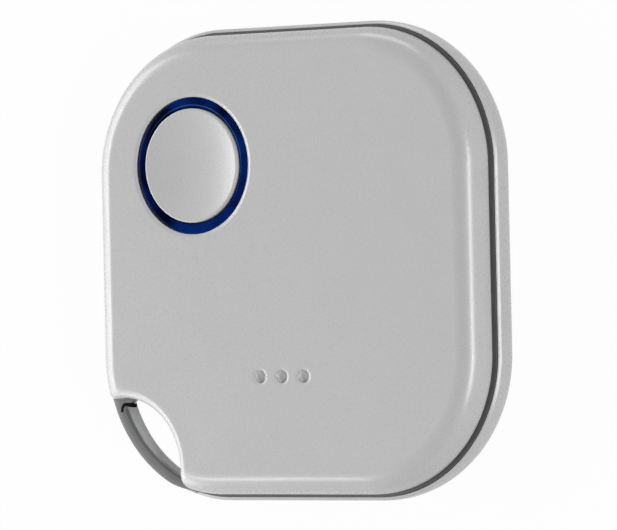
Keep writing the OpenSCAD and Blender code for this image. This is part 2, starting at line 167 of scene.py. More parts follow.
@dataclass
class MeshWork:
    """Collects loops and faces of one piece and turns them into an object."""

    points: list[np.ndarray] = field(default_factory=list)
    faces: list[tuple[int, ...]] = field(default_factory=list)
    fills: list[tuple[list[np.ndarray], Side]] = field(default_factory=list)
    count: int = 0

    def loop(self, points: np.ndarray) -> np.ndarray:
        """Adds points.

        Args:
            points: The points' places.

        Returns:
            The points' numbers.
        """
        self.points.append(points)
        self.count += len(points)
        return np.arange(self.count - len(points), self.count)

    def bridge(self, a: np.ndarray, b: np.ndarray, closed: bool = True) -> None:
        """Joins two loops of the same length with quads.

        Args:
            a: Numbers of the first loop's points.
            b: Numbers of the second loop's points.
            closed: Whether the loops close on themselves.
        """
        n = len(a)
        for i in range(n if closed else n - 1):
            j = (i + 1) % n
            self.faces.append((int(a[i]), int(a[j]), int(b[j]), int(b[i])))

    def stack(self, loops: Sequence[np.ndarray], closed: bool = True) -> list[np.ndarray]:
        """Adds loops and joins each to the next.

        Args:
            loops: Point arrays of equal length.
            closed: Whether each loop closes on itself.

        Returns:
            The numbers of each loop's points.
        """
        made = [self.loop(points) for points in loops]
        for a, b in zip(made, made[1:]):
            self.bridge(a, b, closed)
        return made

    def tube(self, lines: Sequence[np.ndarray]) -> None:
        """Joins open lines into a closed tube with capped ends.

        Args:
            lines: Points along the tube, one line for each corner of its section.
        """
        made = self.stack([*lines, lines[0]], closed=False)
        for end in (0, -1):
            self.faces.append(tuple(int(line[end]) for line in made[:-1]))

    def fan(self, loop: np.ndarray, centre: Sequence[float]) -> None:
        """Closes a loop with triangles to a middle point.

        Args:
            loop: Numbers of the loop's points.
            centre: Place of the middle point.
        """
        middle = int(self.loop(np.array([centre], float))[0])
        n = len(loop)
        for i in range(n):
            self.faces.append((int(loop[i]), int(loop[(i + 1) % n]), middle))

    def fill(self, loops: Sequence[np.ndarray], side: Side) -> None:
        """Asks for a flat fill between an outer loop and its holes."""
        self.fills.append((list(loops), side))

    def object(self, name: str, material: bpy.types.Material,
               smooth_deg: float = 180.0) -> bpy.types.Object:
        """Makes the object in metres, with faces outwards.

        Args:
            name: Name of the piece.
            material: Finish of the piece.
            smooth_deg: Largest angle that is shaded smooth.

        Returns:
            The new object.
        """
        bm = bmesh.new()
        verts = [bm.verts.new(Vector(p) * MM) for p in np.concatenate(self.points)]
        for face in self.faces:
            bm.faces.new([verts[i] for i in face])
        for loops, side in self.fills:
            edges = []
            for loop in loops:
                ring = [verts[int(i)] for i in loop]
                for pair in zip(ring, [*ring[1:], ring[0]]):
                    edges.append(bm.edges.get(pair) or bm.edges.new(pair))
            bmesh.ops.triangle_fill(bm, use_beauty=True, use_dissolve=False, edges=edges,
                                    normal=(0, 0, side.value))
        bmesh.ops.remove_doubles(bm, verts=bm.verts[:], dist=MERGE_M)
        bmesh.ops.recalc_face_normals(bm, faces=bm.faces[:])
        return object_from(bm, name, material, smooth_deg)


def object_from(bm: bmesh.types.BMesh, name: str, material: bpy.types.Material,
                smooth_deg: float) -> bpy.types.Object:
    """Turns a finished bmesh into a linked object.

    Args:
        bm: Mesh in metres; it is freed.
        name: Name of the piece.
        material: Finish of the piece.
        smooth_deg: Largest angle between faces that is shaded smooth.

    Returns:
        The new object.
    """
    limit = math.radians(smooth_deg)
    for face in bm.faces:
        face.smooth = True
    for edge in bm.edges:
        if len(edge.link_faces) == 2 and edge.calc_face_angle(0.0) > limit:
            edge.smooth = False
    mesh = bpy.data.meshes.new(name)
    bm.to_mesh(mesh)
    bm.free()
    mesh.materials.append(material)
    return linked(name, mesh)


def linked(name: str, data: bpy.types.ID) -> bpy.types.Object:
    """Puts data into the scene as an object.

    Args:
        name: Name of the object.
        data: Mesh, light or camera that it shows.

    Returns:
        The new object.
    """
    obj = bpy.data.objects.new(name, data)
    bpy.context.scene.collection.objects.link(obj)
    return obj


def lathe(profile: Sequence[Point], centre: Point, steps: int, work: MeshWork) -> list[np.ndarray]:
    """Turns an open profile about a vertical axis.

    Args:
        profile: Radius and height of each point.
        centre: Place of the axis.
        steps: Points round the axis.
        work: Mesh that the loops go into.

    Returns:
        The numbers of each loop's points.
    """
    turn = np.linspace(0, 2 * math.pi, steps, endpoint=False)
    loops = []
    for r, z in profile:
        loops.append(np.c_[centre[0] + r * np.cos(turn), centre[1] + r * np.sin(turn), np.full(steps, z)])
    return work.stack(loops)


def arc(cx: float, cz: float, r: float, start: float, end: float, steps: int) -> list[Point]:
    """Points of an arc in a radius and height profile.

    Args:
        cx: Radius of the arc's centre from the axis.
        cz: Height of the arc's centre.
        r: Radius of the arc.
        start: First angle in degrees.
        end: Last angle in degrees.
        steps: Number of pieces.

    Returns:
        The points in order.
    """
    angles = np.radians(np.linspace(start, end, steps + 1))
    return [(cx + r * math.cos(a), cz + r * math.sin(a)) for a in angles]


def block(name: str, low: Sequence[float], high: Sequence[float], edge: float,
          material: bpy.types.Material) -> bpy.types.Object:
    """Moulded block with rounded edges.

    Args:
        name: Name of the piece.
        low: Lowest corner.
        high: Highest corner.
        edge: Radius of its edges.
        material: Finish of the piece.

    Returns:
        The new object.
    """
    bm = bmesh.new()
    bmesh.ops.create_cube(bm, size=1.0)
    size = Vector(high) - Vector(low)
    bmesh.ops.scale(bm, vec=size * MM, verts=bm.verts[:])
    bmesh.ops.translate(bm, vec=(Vector(low) + size / 2) * MM, verts=bm.verts[:])
    bmesh.ops.bevel(bm, geom=bm.edges[:], offset=edge * MM, segments=BLOCK_SEGMENTS, profile=0.5,
                    affect="EDGES")
    return object_from(bm, name, material, BLOCK_SMOOTH_DEG)


def feed(tree: Tree, sockets: Iterable[Socket], values: Iterable[Socket | float | Sequence[float]]) -> None:
    """Links or sets sockets in order.

    Args:
        tree: Node tree that holds them.
        sockets: Inputs of a node.
        values: A socket to link or a value to set for each.
    """
    for socket, value in zip(sockets, values):
        if isinstance(value, bpy.types.NodeSocket):
            tree.links.new(value, socket)
        else:
            socket.default_value = value


def node_sum(tree: Tree, operation: str, *values: Socket | float) -> Socket:
    """Adds one sum.

    Args:
        tree: Node tree that it goes into.
        operation: Kind of sum.
        values: Its inputs, as sockets or numbers.

    Returns:
        The result's socket.
    """
    node = tree.nodes.new("ShaderNodeMath")
    node.operation = operation
    feed(tree, node.inputs, values)
    return node.outputs["Value"]


def node_range(tree: Tree, value: Socket, ends: Point, results: Point = (0.0, 1.0),
               ramp: Ramp = Ramp.EVEN) -> Socket:
    """Adds a change from one range of values to another.

    Args:
        tree: Node tree that it goes into.
        value: Value to place in the range.
        ends: Values that give the first and the last result.
        results: First and last result.
        ramp: Way of going from one to the other.

    Returns:
        The result's socket.
    """
    node = tree.nodes.new("ShaderNodeMapRange")
    node.interpolation_type = ramp.value
    names = ("Value", "From Min", "From Max", "To Min", "To Max")
    feed(tree, [node.inputs[name] for name in names], (value, *ends, *results))
    return node.outputs["Result"]


def node_blend(tree: Tree, share: Socket, *colours: Socket | tuple[float, ...]) -> Socket:
    """Adds a blend of two colours.

    Args:
        tree: Node tree that it goes into.
        share: Share of the second colour.
        colours: The two colours, as sockets or values.

    Returns:
        The blend's socket.
    """
    node = tree.nodes.new("ShaderNodeMix")
    node.data_type = "RGBA"
    tree.links.new(share, node.inputs[0])
    feed(tree, node.inputs[MIX_COLOURS], colours)
    return node.outputs[MIX_RESULT]


def node_noise(tree: Tree, place: Socket, size_mm: float, detail: float) -> Socket:
    """Adds a noise whose features have about a given size.

    Args:
        tree: Node tree that it goes into.
        place: Coordinates of the surface.
        size_mm: Size of a feature.
        detail: Octaves of the noise.

    Returns:
        The noise's socket.
    """
    noise = tree.nodes.new("ShaderNodeTexNoise")
    noise.inputs["Scale"].default_value = 1.0 / (size_mm * MM)
    noise.inputs["Detail"].default_value = detail
    tree.links.new(place, noise.inputs["Vector"])
    return noise.outputs["Fac"]


def bare_material(name: str, **levels: float) -> tuple[bpy.types.Material, bpy.types.Node]:
    """Starts a node material.

    Args:
        name: Name of the material.
        levels: Values of the shader's sockets, with _ for each space in a socket's name.

    Returns:
        The material and its shader node.
    """
    mat = bpy.data.materials.new(name)
    mat.use_nodes = True
    shader = mat.node_tree.nodes["Principled BSDF"]
    for socket, level in levels.items():
        shader.inputs[socket.replace("_", " ")].default_value = level
    return mat, shader


@dataclass(frozen=True)
class Finish:
    """Moulded, plated or pressed surface with mottle, grain and bump."""

    name: str
    colour: Colour
    shade: Colour
    roughness: tuple[float, float]
    grain_mm: float = 0.12
    grain_depth_mm: float = 0.002
    grain_detail: float = 2.0
    grain_span: tuple[float, float] = (0.3, 0.7)
    mottle_mm: float = 4.0
    mottle_detail: float = 3.0
    metallic: float = 0.0
    specular: float = 0.5
    coat: float = 0.0
    coat_roughness: float = 0.1

    def material(self) -> bpy.types.Material:
        """Builds the node material.

        Returns:
            The material.
        """
        mat, shader = bare_material(self.name, Metallic=self.metallic, Specular_IOR_Level=self.specular,
                                    Coat_Weight=self.coat, Coat_Roughness=self.coat_roughness)
        tree = mat.node_tree
        place = tree.nodes.new("ShaderNodeTexCoord").outputs["Object"]
        mottle = node_noise(tree, place, self.mottle_mm, self.mottle_detail)
        colour = node_blend(tree, mottle, (*self.colour, 1.0), (*self.shade, 1.0))
        grain = node_noise(tree, place, self.grain_mm, self.grain_detail)
        rough = node_range(tree, grain, self.grain_span, self.roughness)
        bump = tree.nodes.new("ShaderNodeBump")
        bump.inputs["Strength"].default_value = 1.0
        bump.inputs["Distance"].default_value = self.grain_depth_mm * MM
        tree.links.new(grain, bump.inputs["Height"])
        tree.links.new(colour, shader.inputs["Base Color"])
        tree.links.new(rough, shader.inputs["Roughness"])
        tree.links.new(bump.outputs["Normal"], shader.inputs["Normal"])
        return mat


@dataclass(frozen=True)
class LensFinish:
    """Dark blue light guide with painted glow pools over its lights, painted light that is stronger on one
    side, and a painted highlight along its inner edge.
    """

    name: str
    axis: Point
    deep: Colour = (0.0002, 0.0012, 0.014)
    # Painted glow of the lights under the ring.
    painted_glow: Colour = (0.0012, 0.0160, 0.125)
    # Colour of the painted highlight along the inner edge.
    edge: Colour = (0.0850, 0.1800, 0.450)
    lights: int = 4
    painted_glow_swing: float = 0.12
    # Side towards which painted light makes the pools stronger, and by how much.
    painted_light_side: float = -20.0
    painted_light_side_swing: float = 0.08
    cloud_mm: float = 2.2
    cloud_detail: float = 2.0
    cloud_span: tuple[float, float] = (0.25, 0.75)
    # Radius, width and side of the painted highlight along the inner edge.
    painted_highlight_at: float = 4.62
    painted_highlight_w: float = 0.05
    painted_highlight_side: float = 60.0
    painted_highlight_span: tuple[float, float] = (-0.3, 1.0)
    specular: float = 0.01
    roughness: float = 0.18

    def material(self) -> bpy.types.Material:
        """Builds the node material.

        Returns:
            The material.
        """
        mat, shader = bare_material(self.name, Specular_IOR_Level=self.specular, Roughness=self.roughness)
        tree = mat.node_tree
        place = tree.nodes.new("ShaderNodeTexCoord").outputs["Object"]
        cloud = node_noise(tree, place, self.cloud_mm, self.cloud_detail)
        parts = self._from_axis(tree, place)
        turn = node_sum(tree, "ARCTAN2", parts["Y"], parts["X"])
        # Dark tint of the ring with the painted glow pools blended in.
        body = node_blend(tree, self._painted_glow_pools(tree, turn, cloud), (*self.deep, 1.0), (*self.painted_glow, 1.0))
        # Painted highlight along the inner edge, broken up by the noise.
        glow = node_sum(tree, "MULTIPLY", self._painted_highlight_line(tree, turn, parts), cloud)
        tree.links.new(node_blend(tree, glow, body, (*self.edge, 1.0)), shader.inputs["Base Color"])
        return mat

    def _from_axis(self, tree: Tree, place: Socket) -> bpy.types.bpy_prop_collection:
        """Adds the place on the ring, measured from its axis.

        Args:
            tree: Node tree of the material.
            place: Coordinates of the surface.

        Returns:
            Sockets of the parts along X and Y.
        """
        centred = tree.nodes.new("ShaderNodeVectorMath")
        centred.operation = "SUBTRACT"
        feed(tree, centred.inputs, (place, (self.axis[0] * MM, self.axis[1] * MM, 0.0)))
        parts = tree.nodes.new("ShaderNodeSeparateXYZ")
        tree.links.new(centred.outputs["Vector"], parts.inputs["Vector"])
        return parts.outputs

    def _painted_glow_pools(self, tree: Tree, turn: Socket, cloud: Socket) -> Socket:
        """Adds the cloudy painted glow pools over the lights, with painted light stronger on one side.

        Args:
            tree: Node tree of the material.
            turn: Angle about the axis.
            cloud: Noise that breaks the pools up.

        Returns:
            Socket that is 1 in a painted glow pool and 0 between them.
        """
        wave = node_sum(tree, "COSINE", node_sum(tree, "MULTIPLY", turn, float(self.lights)))
        mixed = node_sum(tree, "MULTIPLY_ADD", wave, self.painted_glow_swing, cloud)
        # Painted light: the pools grow stronger towards one side.
        lean = self._lean(tree, turn, self.painted_light_side)
        mixed = node_sum(tree, "MULTIPLY_ADD", lean, self.painted_light_side_swing, mixed)
        return node_range(tree, mixed, self.cloud_span, ramp=Ramp.SMOOTH)

    def _painted_highlight_line(self, tree: Tree, turn: Socket, parts: bpy.types.bpy_prop_collection) -> Socket:
        """Adds the painted highlight line along the inner edge, which fades on one side.

        Args:
            tree: Node tree of the material.
            turn: Angle about the axis.
            parts: Place from the axis along X and Y.

        Returns:
            Socket that is 1 on the line.
        """
        flat = tree.nodes.new("ShaderNodeCombineXYZ")
        feed(tree, flat.inputs, (parts["X"], parts["Y"]))
        length = tree.nodes.new("ShaderNodeVectorMath")
        length.operation = "LENGTH"
        tree.links.new(flat.outputs["Vector"], length.inputs[0])
        off = node_sum(tree, "SUBTRACT", length.outputs["Value"], self.painted_highlight_at * MM)
        line = node_range(tree, node_sum(tree, "ABSOLUTE", off), (self.painted_highlight_w * MM, 0.0), ramp=Ramp.SMOOTH)
        side = node_range(tree, self._lean(tree, turn, self.painted_highlight_side), self.painted_highlight_span, ramp=Ramp.SMOOTH)
        return node_sum(tree, "MULTIPLY", line, side)

    @staticmethod
    def _lean(tree: Tree, turn: Socket, towards: float) -> Socket:
        """Adds a value that is 1 on one side of the axis and -1 on the other."""
        return node_sum(tree, "COSINE", node_sum(tree, "SUBTRACT", turn, math.radians(towards)))


class Finishes:
    """All finishes of the object, made once."""

    def __init__(self, axis: Point) -> None:
        """Builds each material.

        Args:
            axis: Axis of the button, about which the ring's finish turns.
        """
        self.shell = Finish("satin_grey_shell", (0.445, 0.445, 0.447), (0.465, 0.465, 0.465), (0.25, 0.33),
                            grain_mm=0.16, grain_depth_mm=0.006, mottle_mm=2.5).material()
        self.band = Finish("dark_groove_band", (0.080, 0.080, 0.082), (0.100, 0.100, 0.102), (0.35, 0.5),
                           grain_mm=0.15, mottle_mm=1.5).material()
        self.loop_rear = Finish("grey_loop", (0.40, 0.40, 0.403), (0.44, 0.44, 0.442), (0.35, 0.5),
                                grain_mm=0.15, mottle_mm=1.5).material()
        self.loop_front = Finish("dark_loop", (0.10, 0.10, 0.102), (0.125, 0.125, 0.127), (0.35, 0.5),
                                 grain_mm=0.15, mottle_mm=1.5).material()
        self.ring = LensFinish("deep_blue_lens", axis).material()
        self.rubber = Finish("black_seal", (0.012, 0.012, 0.013), (0.02, 0.02, 0.021),
                             (0.6, 0.8)).material()
        # Near-black finish that paints deep shadow in a gap.
        self.gap = Finish("black_root_seal", (0.002, 0.002, 0.002), (0.004, 0.004, 0.004), (0.8, 0.95),
                          specular=0.05).material()
        self.switch = Finish("black_switch_plastic", (0.015, 0.015, 0.017), (0.024, 0.024, 0.026),
                             (0.4, 0.6)).material()
        self.board = Finish("green_board_mask", (0.006, 0.075, 0.04), (0.012, 0.105, 0.055), (0.25, 0.4),
                            grain_mm=0.25, mottle_mm=0.9, coat=0.4).material()
        self.copper = Finish("gold_pads", (0.75, 0.55, 0.25), (0.85, 0.66, 0.34), (0.25, 0.4),
                             metallic=1.0).material()
        self.chip = Finish("black_chip_epoxy", (0.018, 0.018, 0.02), (0.03, 0.03, 0.032), (0.45, 0.65),
                           grain_mm=0.06).material()
        self.steel = Finish("bright_sheet", (0.60, 0.59, 0.56), (0.70, 0.69, 0.66), (0.22, 0.38),
                            grain_mm=0.2, mottle_mm=0.7, metallic=1.0).material()
        self.ceramic = Finish("white_ceramic", (0.70, 0.68, 0.63), (0.78, 0.76, 0.72),
                              (0.4, 0.55)).material()
        self.resin = Finish("yellow_resin", (0.78, 0.66, 0.30), (0.86, 0.78, 0.45), (0.12, 0.22),
                            coat=0.5).material()
        self.tan = Finish("tan_ceramic", (0.30, 0.19, 0.11), (0.40, 0.28, 0.17), (0.4, 0.6),
                          mottle_mm=0.3).material()
        self.brass = Finish("plated_brass", (0.72, 0.55, 0.26), (0.82, 0.66, 0.36), (0.2, 0.38),
                            grain_mm=0.2, mottle_mm=1.2, metallic=1.0).material()
        self.cell = Finish("nickel_cell", (0.44, 0.44, 0.43), (0.52, 0.52, 0.51), (0.22, 0.36),
                           grain_mm=0.25, grain_depth_mm=0.0006, mottle_mm=2.0, metallic=1.0).material()
        self.fill = Finish("pressed_powder", (0.04, 0.04, 0.04), (0.06, 0.06, 0.06), (0.7, 0.9)).material()


@dataclass(frozen=True)
class Plan:
    """Outline of the case, seen from the front, and the loops that follow it."""

    half: float = 18.0
    corner_r: float = 11.0
    scoop_at: float = 15.5
    scoop_r: float = 5.45
    crease_w: float = 0.02
    junction_w: float = 0.5
    junction_inset: float = 0.5
    junction_reach: float = 1.6
    scoop_turn: tuple[float, float] = (180.0, 248.0)
    wide_steps: int = 620
    scoop_steps: int = 360
    ring_reach: float = 27.0
    sweep_reach: float = 6.0

    def side(self, p: np.ndarray, inset: float) -> np.ndarray:
        """Distance to the outline, set in.

        Args:
            p: Points to measure.
            inset: Distance by which the outline is set in.

        Returns:
            The distance, below zero inside.
        """
        q = np.abs(p[..., :2]) - (self.half - self.corner_r)
        outside = np.hypot(np.maximum(q[..., 0], 0), np.maximum(q[..., 1], 0))
        return outside + np.minimum(np.maximum(q[..., 0], q[..., 1]), 0) - (self.corner_r - inset)

    def scoop(self, p: np.ndarray, wall: float) -> np.ndarray:
        """Depth inside the scooped corner and a wall round it, below zero in the material."""
        return self.scoop_r + wall - np.hypot(p[..., 0] + self.scoop_at, p[..., 1] + self.scoop_at)

    def crease(self, p: np.ndarray) -> np.ndarray:
        """Width of the softened crease, which grows where scoop and outline meet."""
        away = np.hypot(self.side(p, self.junction_inset), self.scoop(p, 0.0))
        return self.crease_w + self.junction_w * np.exp(-((away / self.junction_reach) ** 2))

    def turn(self) -> np.ndarray:
        """Directions of the loops' points, closer together by the scoop.

        Returns:
            Angles in radians.
        """
        start, end = self.scoop_turn
        wide = np.radians(np.linspace(end - 360.0, start, self.wide_steps, endpoint=False))
        close = np.radians(np.linspace(start, end, self.scoop_steps, endpoint=False))
        return np.concatenate([wide, close])

    def wall(self, inset: float, scoop_wall: float, edge: float) -> Field:
        """Field of an upright wall that follows the outline.

        Args:
            inset: Distance from the outline.
            scoop_wall: Distance from the scoop.
            edge: Radius of the upright edges.

        Returns:
            A field of the plan.
        """
        return lambda p: round_max(self.side(p, inset), self.scoop(p, scoop_wall), edge)

    def ring(self, shape: Field, z: float | np.ndarray) -> np.ndarray:
        """Points of a loop at one height, or at a height for each direction.

        Args:
            shape: Field that the loop lies on.
            z: Height of the loop.

        Returns:
            The loop's points.
        """
        turn = self.turn()
        start = np.zeros((len(turn), 3))
        start[:, 2] = z
        return trace(shape, start, np.c_[np.cos(turn), np.sin(turn), np.zeros(len(turn))], self.ring_reach)

    def level(self, depth: float, edge: float, z: float | np.ndarray, ledge: float = 0.0) -> np.ndarray:
        """Points of a loop set in by the same depth from the side and from the scoop.

        Args:
            depth: Distance that the loop is set in.
            edge: Radius of its upright edges.
            z: Height of the loop.
            ledge: Further distance from the outline alone.

        Returns:
            The loop's points.
        """
        return self.ring(self.wall(ledge + depth, depth, edge), z)

    def sweep(self, shape: Field, spine: Field, z: float, angles: Sequence[float]) -> list[np.ndarray]:
        """Loops where rays from a spine inside the wall leave a field.

        Args:
            shape: Field of the solid.
            spine: Field whose edge is the spine's line in plan.
            z: Height of the spine.
            angles: Rise of the rays of each loop, in degrees.

        Returns:
            One loop for each angle.
        """
        turn = self.turn()
        start = self.ring(spine, z)
        loops = []
        for angle in np.radians(angles):
            flat = math.cos(angle)
            aim = np.c_[np.cos(turn) * flat, np.sin(turn) * flat, np.full(len(turn), math.sin(angle))]
            loops.append(trace(shape, start, aim, self.sweep_reach))
        return loops


@dataclass
class FrontShell:
    """Front cover with its button hole, dimples and scooped corner."""

    plan: Plan
    hole_at: Point
    ledge: float = 0.5
    rim_z: float = 3.65
    face_z: float = 6.0
    ceiling_z: float = 5.1
    ceiling_r: float = 1.0
    ceiling_loops: int = 7
    edge_r: float = 1.9
    edge_rise: float = 88.0
    edge_loops: int = 54
    scoop_edge_r: float = 0.9
    wall: float = 1.0
    upright_r: float = 0.3
    rim_r: float = 0.1
    rim_chamfer: float = 0.05
    rim_shares: tuple[float, ...] = (0.25, 0.5, 0.75, 1.0)
    spine: float = 2.1
    flat_margin: float = 0.1
    hole_r: float = 5.22
    hole_edge_r: float = 0.08
    hole_flare: tuple[float, float] = (0.17, 0.055)
    hole_foot: float = 0.05
    hole_steps: int = 192
    flare_margins: tuple[float, float] = (0.08, 0.01)
    flare_crisp: float = 0.08
    flare_steps: int = 6
    dot_y: float = -8.55
    dot_pitch: float = 2.0
    dot_r: float = 0.49
    dot_depth: float = 0.31
    dot_edge_r: float = 0.05
    dot_flare: tuple[float, float] = (0.15, 0.034)
    dot_floor_r: float = 0.16
    dot_floor_steps: int = 5
    dot_pole_r: float = 0.1
    dot_steps: int = 48

    def solid(self, p: np.ndarray) -> np.ndarray:
        """Field of the cover's outside.

        Args:
            p: Points to measure.

        Returns:
            The field, below zero inside.
        """
        side = self.plan.side(p, self.ledge)
        scoop = self.plan.scoop(p, 0.0)
        top = p[..., 2] - self.face_z
        outer, inner = round_max(side, top, self.edge_r), round_max(scoop, top, self.scoop_edge_r)
        edges = soft_max(outer, inner, self.plan.crease(p))
        rim = round_max(np.maximum(side, scoop), self.rim_z - p[..., 2], self.rim_r)
        return np.maximum(np.maximum(edges, round_max(side, scoop, self.upright_r)), rim)

    def build(self, finish: bpy.types.Material) -> bpy.types.Object:
        """Makes the closed shell.

        Args:
            finish: Finish of the shell.

        Returns:
            The shell.
        """
        work = MeshWork()
        made = work.stack([*self._inside(), *self._outside()])
        hole = lathe(self._hole_profile(), self.hole_at, self.hole_steps, work)
        dots = [self._dot(work, k * self.dot_pitch) for k in (-1, 0, 1)]
        work.fill([made[-1], hole[0], *dots], Side.UP)
        work.fill([made[0], hole[-1]], Side.DOWN)
        return work.object("front_shell", finish)

    def _inside(self) -> list[np.ndarray]:
        """Loops from the ceiling down the inner wall to the rim.

        Returns:
            The loops in order.
        """
        loops = []
        for a in np.radians(np.linspace(90, 0, self.ceiling_loops)):
            depth = self.wall + self.ceiling_r * (1 - math.cos(a))
            z = self.ceiling_z - self.ceiling_r * (1 - math.sin(a))
            loops.append(self.plan.level(depth, self.upright_r, z, self.ledge))
        for depth, z in ((self.wall, self.rim_z + self.rim_chamfer),
                         (self.wall - self.rim_chamfer, self.rim_z)):
            loops.append(self.plan.level(depth, self.upright_r, z, self.ledge))
        return loops

    def _outside(self) -> list[np.ndarray]:
        """Loops from the rim up the side and over the edge to the flat face.

        Returns:
            The loops in order.
        """
        plan = self.plan
        loops = [plan.level(self.rim_r, self.upright_r, self.rim_z, self.ledge)]
        for share in self.rim_shares:
            rise = self.rim_r * (1 - math.cos(share * math.pi / 2))
            loops.append(plan.ring(self.solid, self.rim_z + rise))
        spine = plan.wall(self.ledge + self.spine, self.spine, self.upright_r)
        rises = np.linspace(0, self.edge_rise, self.edge_loops)
        loops += plan.sweep(self.solid, spine, self.face_z - self.spine, rises)
        loops.append(plan.level(self.spine + self.flat_margin, self.upright_r, self.face_z, self.ledge))
        return loops

    def _flare(self, r: float, edge: float, size: tuple[float, float]) -> list[Point]:
        """Shallow cone and rounded edge round an opening in the face.

        Args:
            r: Radius of the opening.
            edge: Radius of its edge.
            size: Width and drop of the cone.

        Returns:
            Radius and height from the face down to the opening's wall.
        """
        wide, drop = size
        lean = math.degrees(math.atan2(drop, wide))
        foot = arc(r + edge, self.face_z - drop - edge, edge, 90 - lean, 180, self.flare_steps)
        rise = self.face_z - foot[0][1]
        top = foot[0][0] + rise * wide / drop
        crisp = self.flare_crisp
        near = (top - crisp * wide, self.face_z - crisp * drop)
        low = (foot[0][0] + crisp * wide, foot[0][1] + crisp * drop)
        return [*((top + margin, self.face_z) for margin in self.flare_margins), near, low, *foot]

    def _hole_profile(self) -> list[Point]:
        """Radius and height down the button hole."""
        flare = self._flare(self.hole_r, self.hole_edge_r, self.hole_flare)
        return [*flare, (self.hole_r, self.ceiling_z + self.hole_foot), (self.hole_r, self.ceiling_z)]

    def _dot(self, work: MeshWork, x: float) -> np.ndarray:
        """Adds one dimple.

        Args:
            work: Mesh of the shell.
            x: Place of the dimple along its row.

        Returns:
            The numbers of the dimple's outer loop.
        """
        f = self.dot_floor_r
        floor = self.face_z - self.dot_depth
        profile = self._flare(self.dot_r, self.dot_edge_r, self.dot_flare)
        profile += arc(self.dot_r - f, floor + f, f, 0, -90, self.dot_floor_steps)
        profile.append((self.dot_pole_r, floor))
        rings = lathe(profile, (x, self.dot_y), self.dot_steps, work)
        work.fan(rings[-1], (x, self.dot_y, floor))
        return rings[0]


@dataclass
class RearShell:
    """Rear cover with its ledge and lip, cell cradle and scooped corner."""

    plan: Plan
    height: float = 3.05
    edge_r: float = 2.5
    edge_fall: float = -88.0
    edge_loops: int = 54
    scoop_edge_r: float = 0.9
    lip_w: float = 0.24
    lip_h: float = 0.25
    lip_chamfer: float = 0.21
    lip_blend: float = 0.04
    lip_run: float = 0.3
    lip_corner: float = 0.01
    lip_drops: tuple[float, ...] = (0.27, 0.235, 0.21, 0.185, 0.15, 0.1, 0.06, 0.035, 0.015, 1e-6)
    ledge_r: float = 0.15
    ledge_foot: float = 0.02
    ledge_chamfer: float = 0.06
    wall: float = 1.2
    floor: float = 0.7
    cavity_r: float = 1.35
    cavity_loops: int = 9
    inside_r: float = 0.3
    upright_r: float = 0.12
    spine: float = 2.6
    flat_margin: float = 0.1
    cradle: tuple[float, float] = (10.5, 11.2)
    cradle_h: float = 0.8
    cradle_edge: float = 0.08
    cradle_sink: float = 0.02
    cradle_steps: int = 160

    def solid(self, p: np.ndarray) -> np.ndarray:
        """Field of the cover's outside.

        Args:
            p: Points to measure.

        Returns:
            The field, below zero inside.
        """
        side = self.plan.side(p, 0.0)
        scoop = self.plan.scoop(p, 0.0)
        under = -p[..., 2]
        top = p[..., 2] - self.rim(p)
        outer, inner = round_max(side, under, self.edge_r), round_max(scoop, under, self.scoop_edge_r)
        edges = soft_max(outer, inner, self.plan.crease(p))
        slope = (np.maximum(side, scoop) + top + self.lip_chamfer) / math.sqrt(2)
        lip = soft_max(np.maximum(side, top), slope, np.full(side.shape, self.lip_blend))
        return np.maximum(np.maximum(edges, round_max(side, scoop, self.upright_r)), lip)

    def rim(self, p: np.ndarray) -> np.ndarray:
        """Height of the lip, which runs out at the scoop."""
        return self.height + self.lip_h * ease(-self.plan.scoop(p, 0.0) / self.lip_run)

    def build(self, finish: bpy.types.Material) -> bpy.types.Object:
        """Makes the closed shell with its cradle.

        Args:
            finish: Finish of the shell.

        Returns:
            The shell.
        """
        work = MeshWork()
        made = work.stack([*self._outside(), *self._inside()])
        low, high = self.floor - self.cradle_sink, self.floor + self.cradle_h
        (inner, outer), edge = self.cradle, self.cradle_edge
        profile = [(inner, low), (inner, high - edge), (inner + edge, high), (outer - edge, high),
                   (outer, high - edge), (outer, low)]
        ring = lathe(profile, (0.0, 0.0), self.cradle_steps, work)
        work.bridge(ring[-1], ring[0])
        work.fill([made[0]], Side.DOWN)
        work.fill([made[-1]], Side.UP)
        return work.object("rear_shell", finish)

    def _outside(self) -> list[np.ndarray]:
        """Loops from the flat back round the edge and up to the lip.

        Returns:
            The loops in order.
        """
        plan = self.plan
        foot = plan.level(self.spine + self.flat_margin, self.inside_r, 0.0)
        spine = plan.wall(self.spine, self.spine, self.inside_r)
        falls = np.linspace(self.edge_fall, 0, self.edge_loops)
        rim = self._lip_line()
        return [foot, *plan.sweep(self.solid, spine, self.spine, falls),
                *(plan.ring(self.solid, rim - drop) for drop in self.lip_drops)]

    def _inside(self) -> list[np.ndarray]:
        """Loops over the lip and the ledge and down into the cavity.

        Returns:
            The loops in order.
        """
        rim, top, c = self._lip_line(), self.height, self.lip_corner
        steps = ((self.lip_w - c, rim), (self.lip_w, rim - c), (self.lip_w, top),
                 (self.lip_w + self.ledge_foot, top), (self.wall - self.ledge_chamfer, top),
                 (self.wall, top - self.ledge_chamfer))
        loops = [self.plan.level(depth, self.ledge_r, z) for depth, z in steps]
        for a in np.radians(np.linspace(0, 90, self.cavity_loops)):
            depth = self.wall + self.cavity_r * (1 - math.cos(a))
            z = self.floor + self.cavity_r * (1 - math.sin(a))
            loops.append(self.plan.level(depth, self.inside_r, z))
        return loops

    def _lip_line(self) -> np.ndarray:
        """Height of the lip in each direction."""
        return self.rim(self.plan.level(0.0, self.upright_r, self.height))


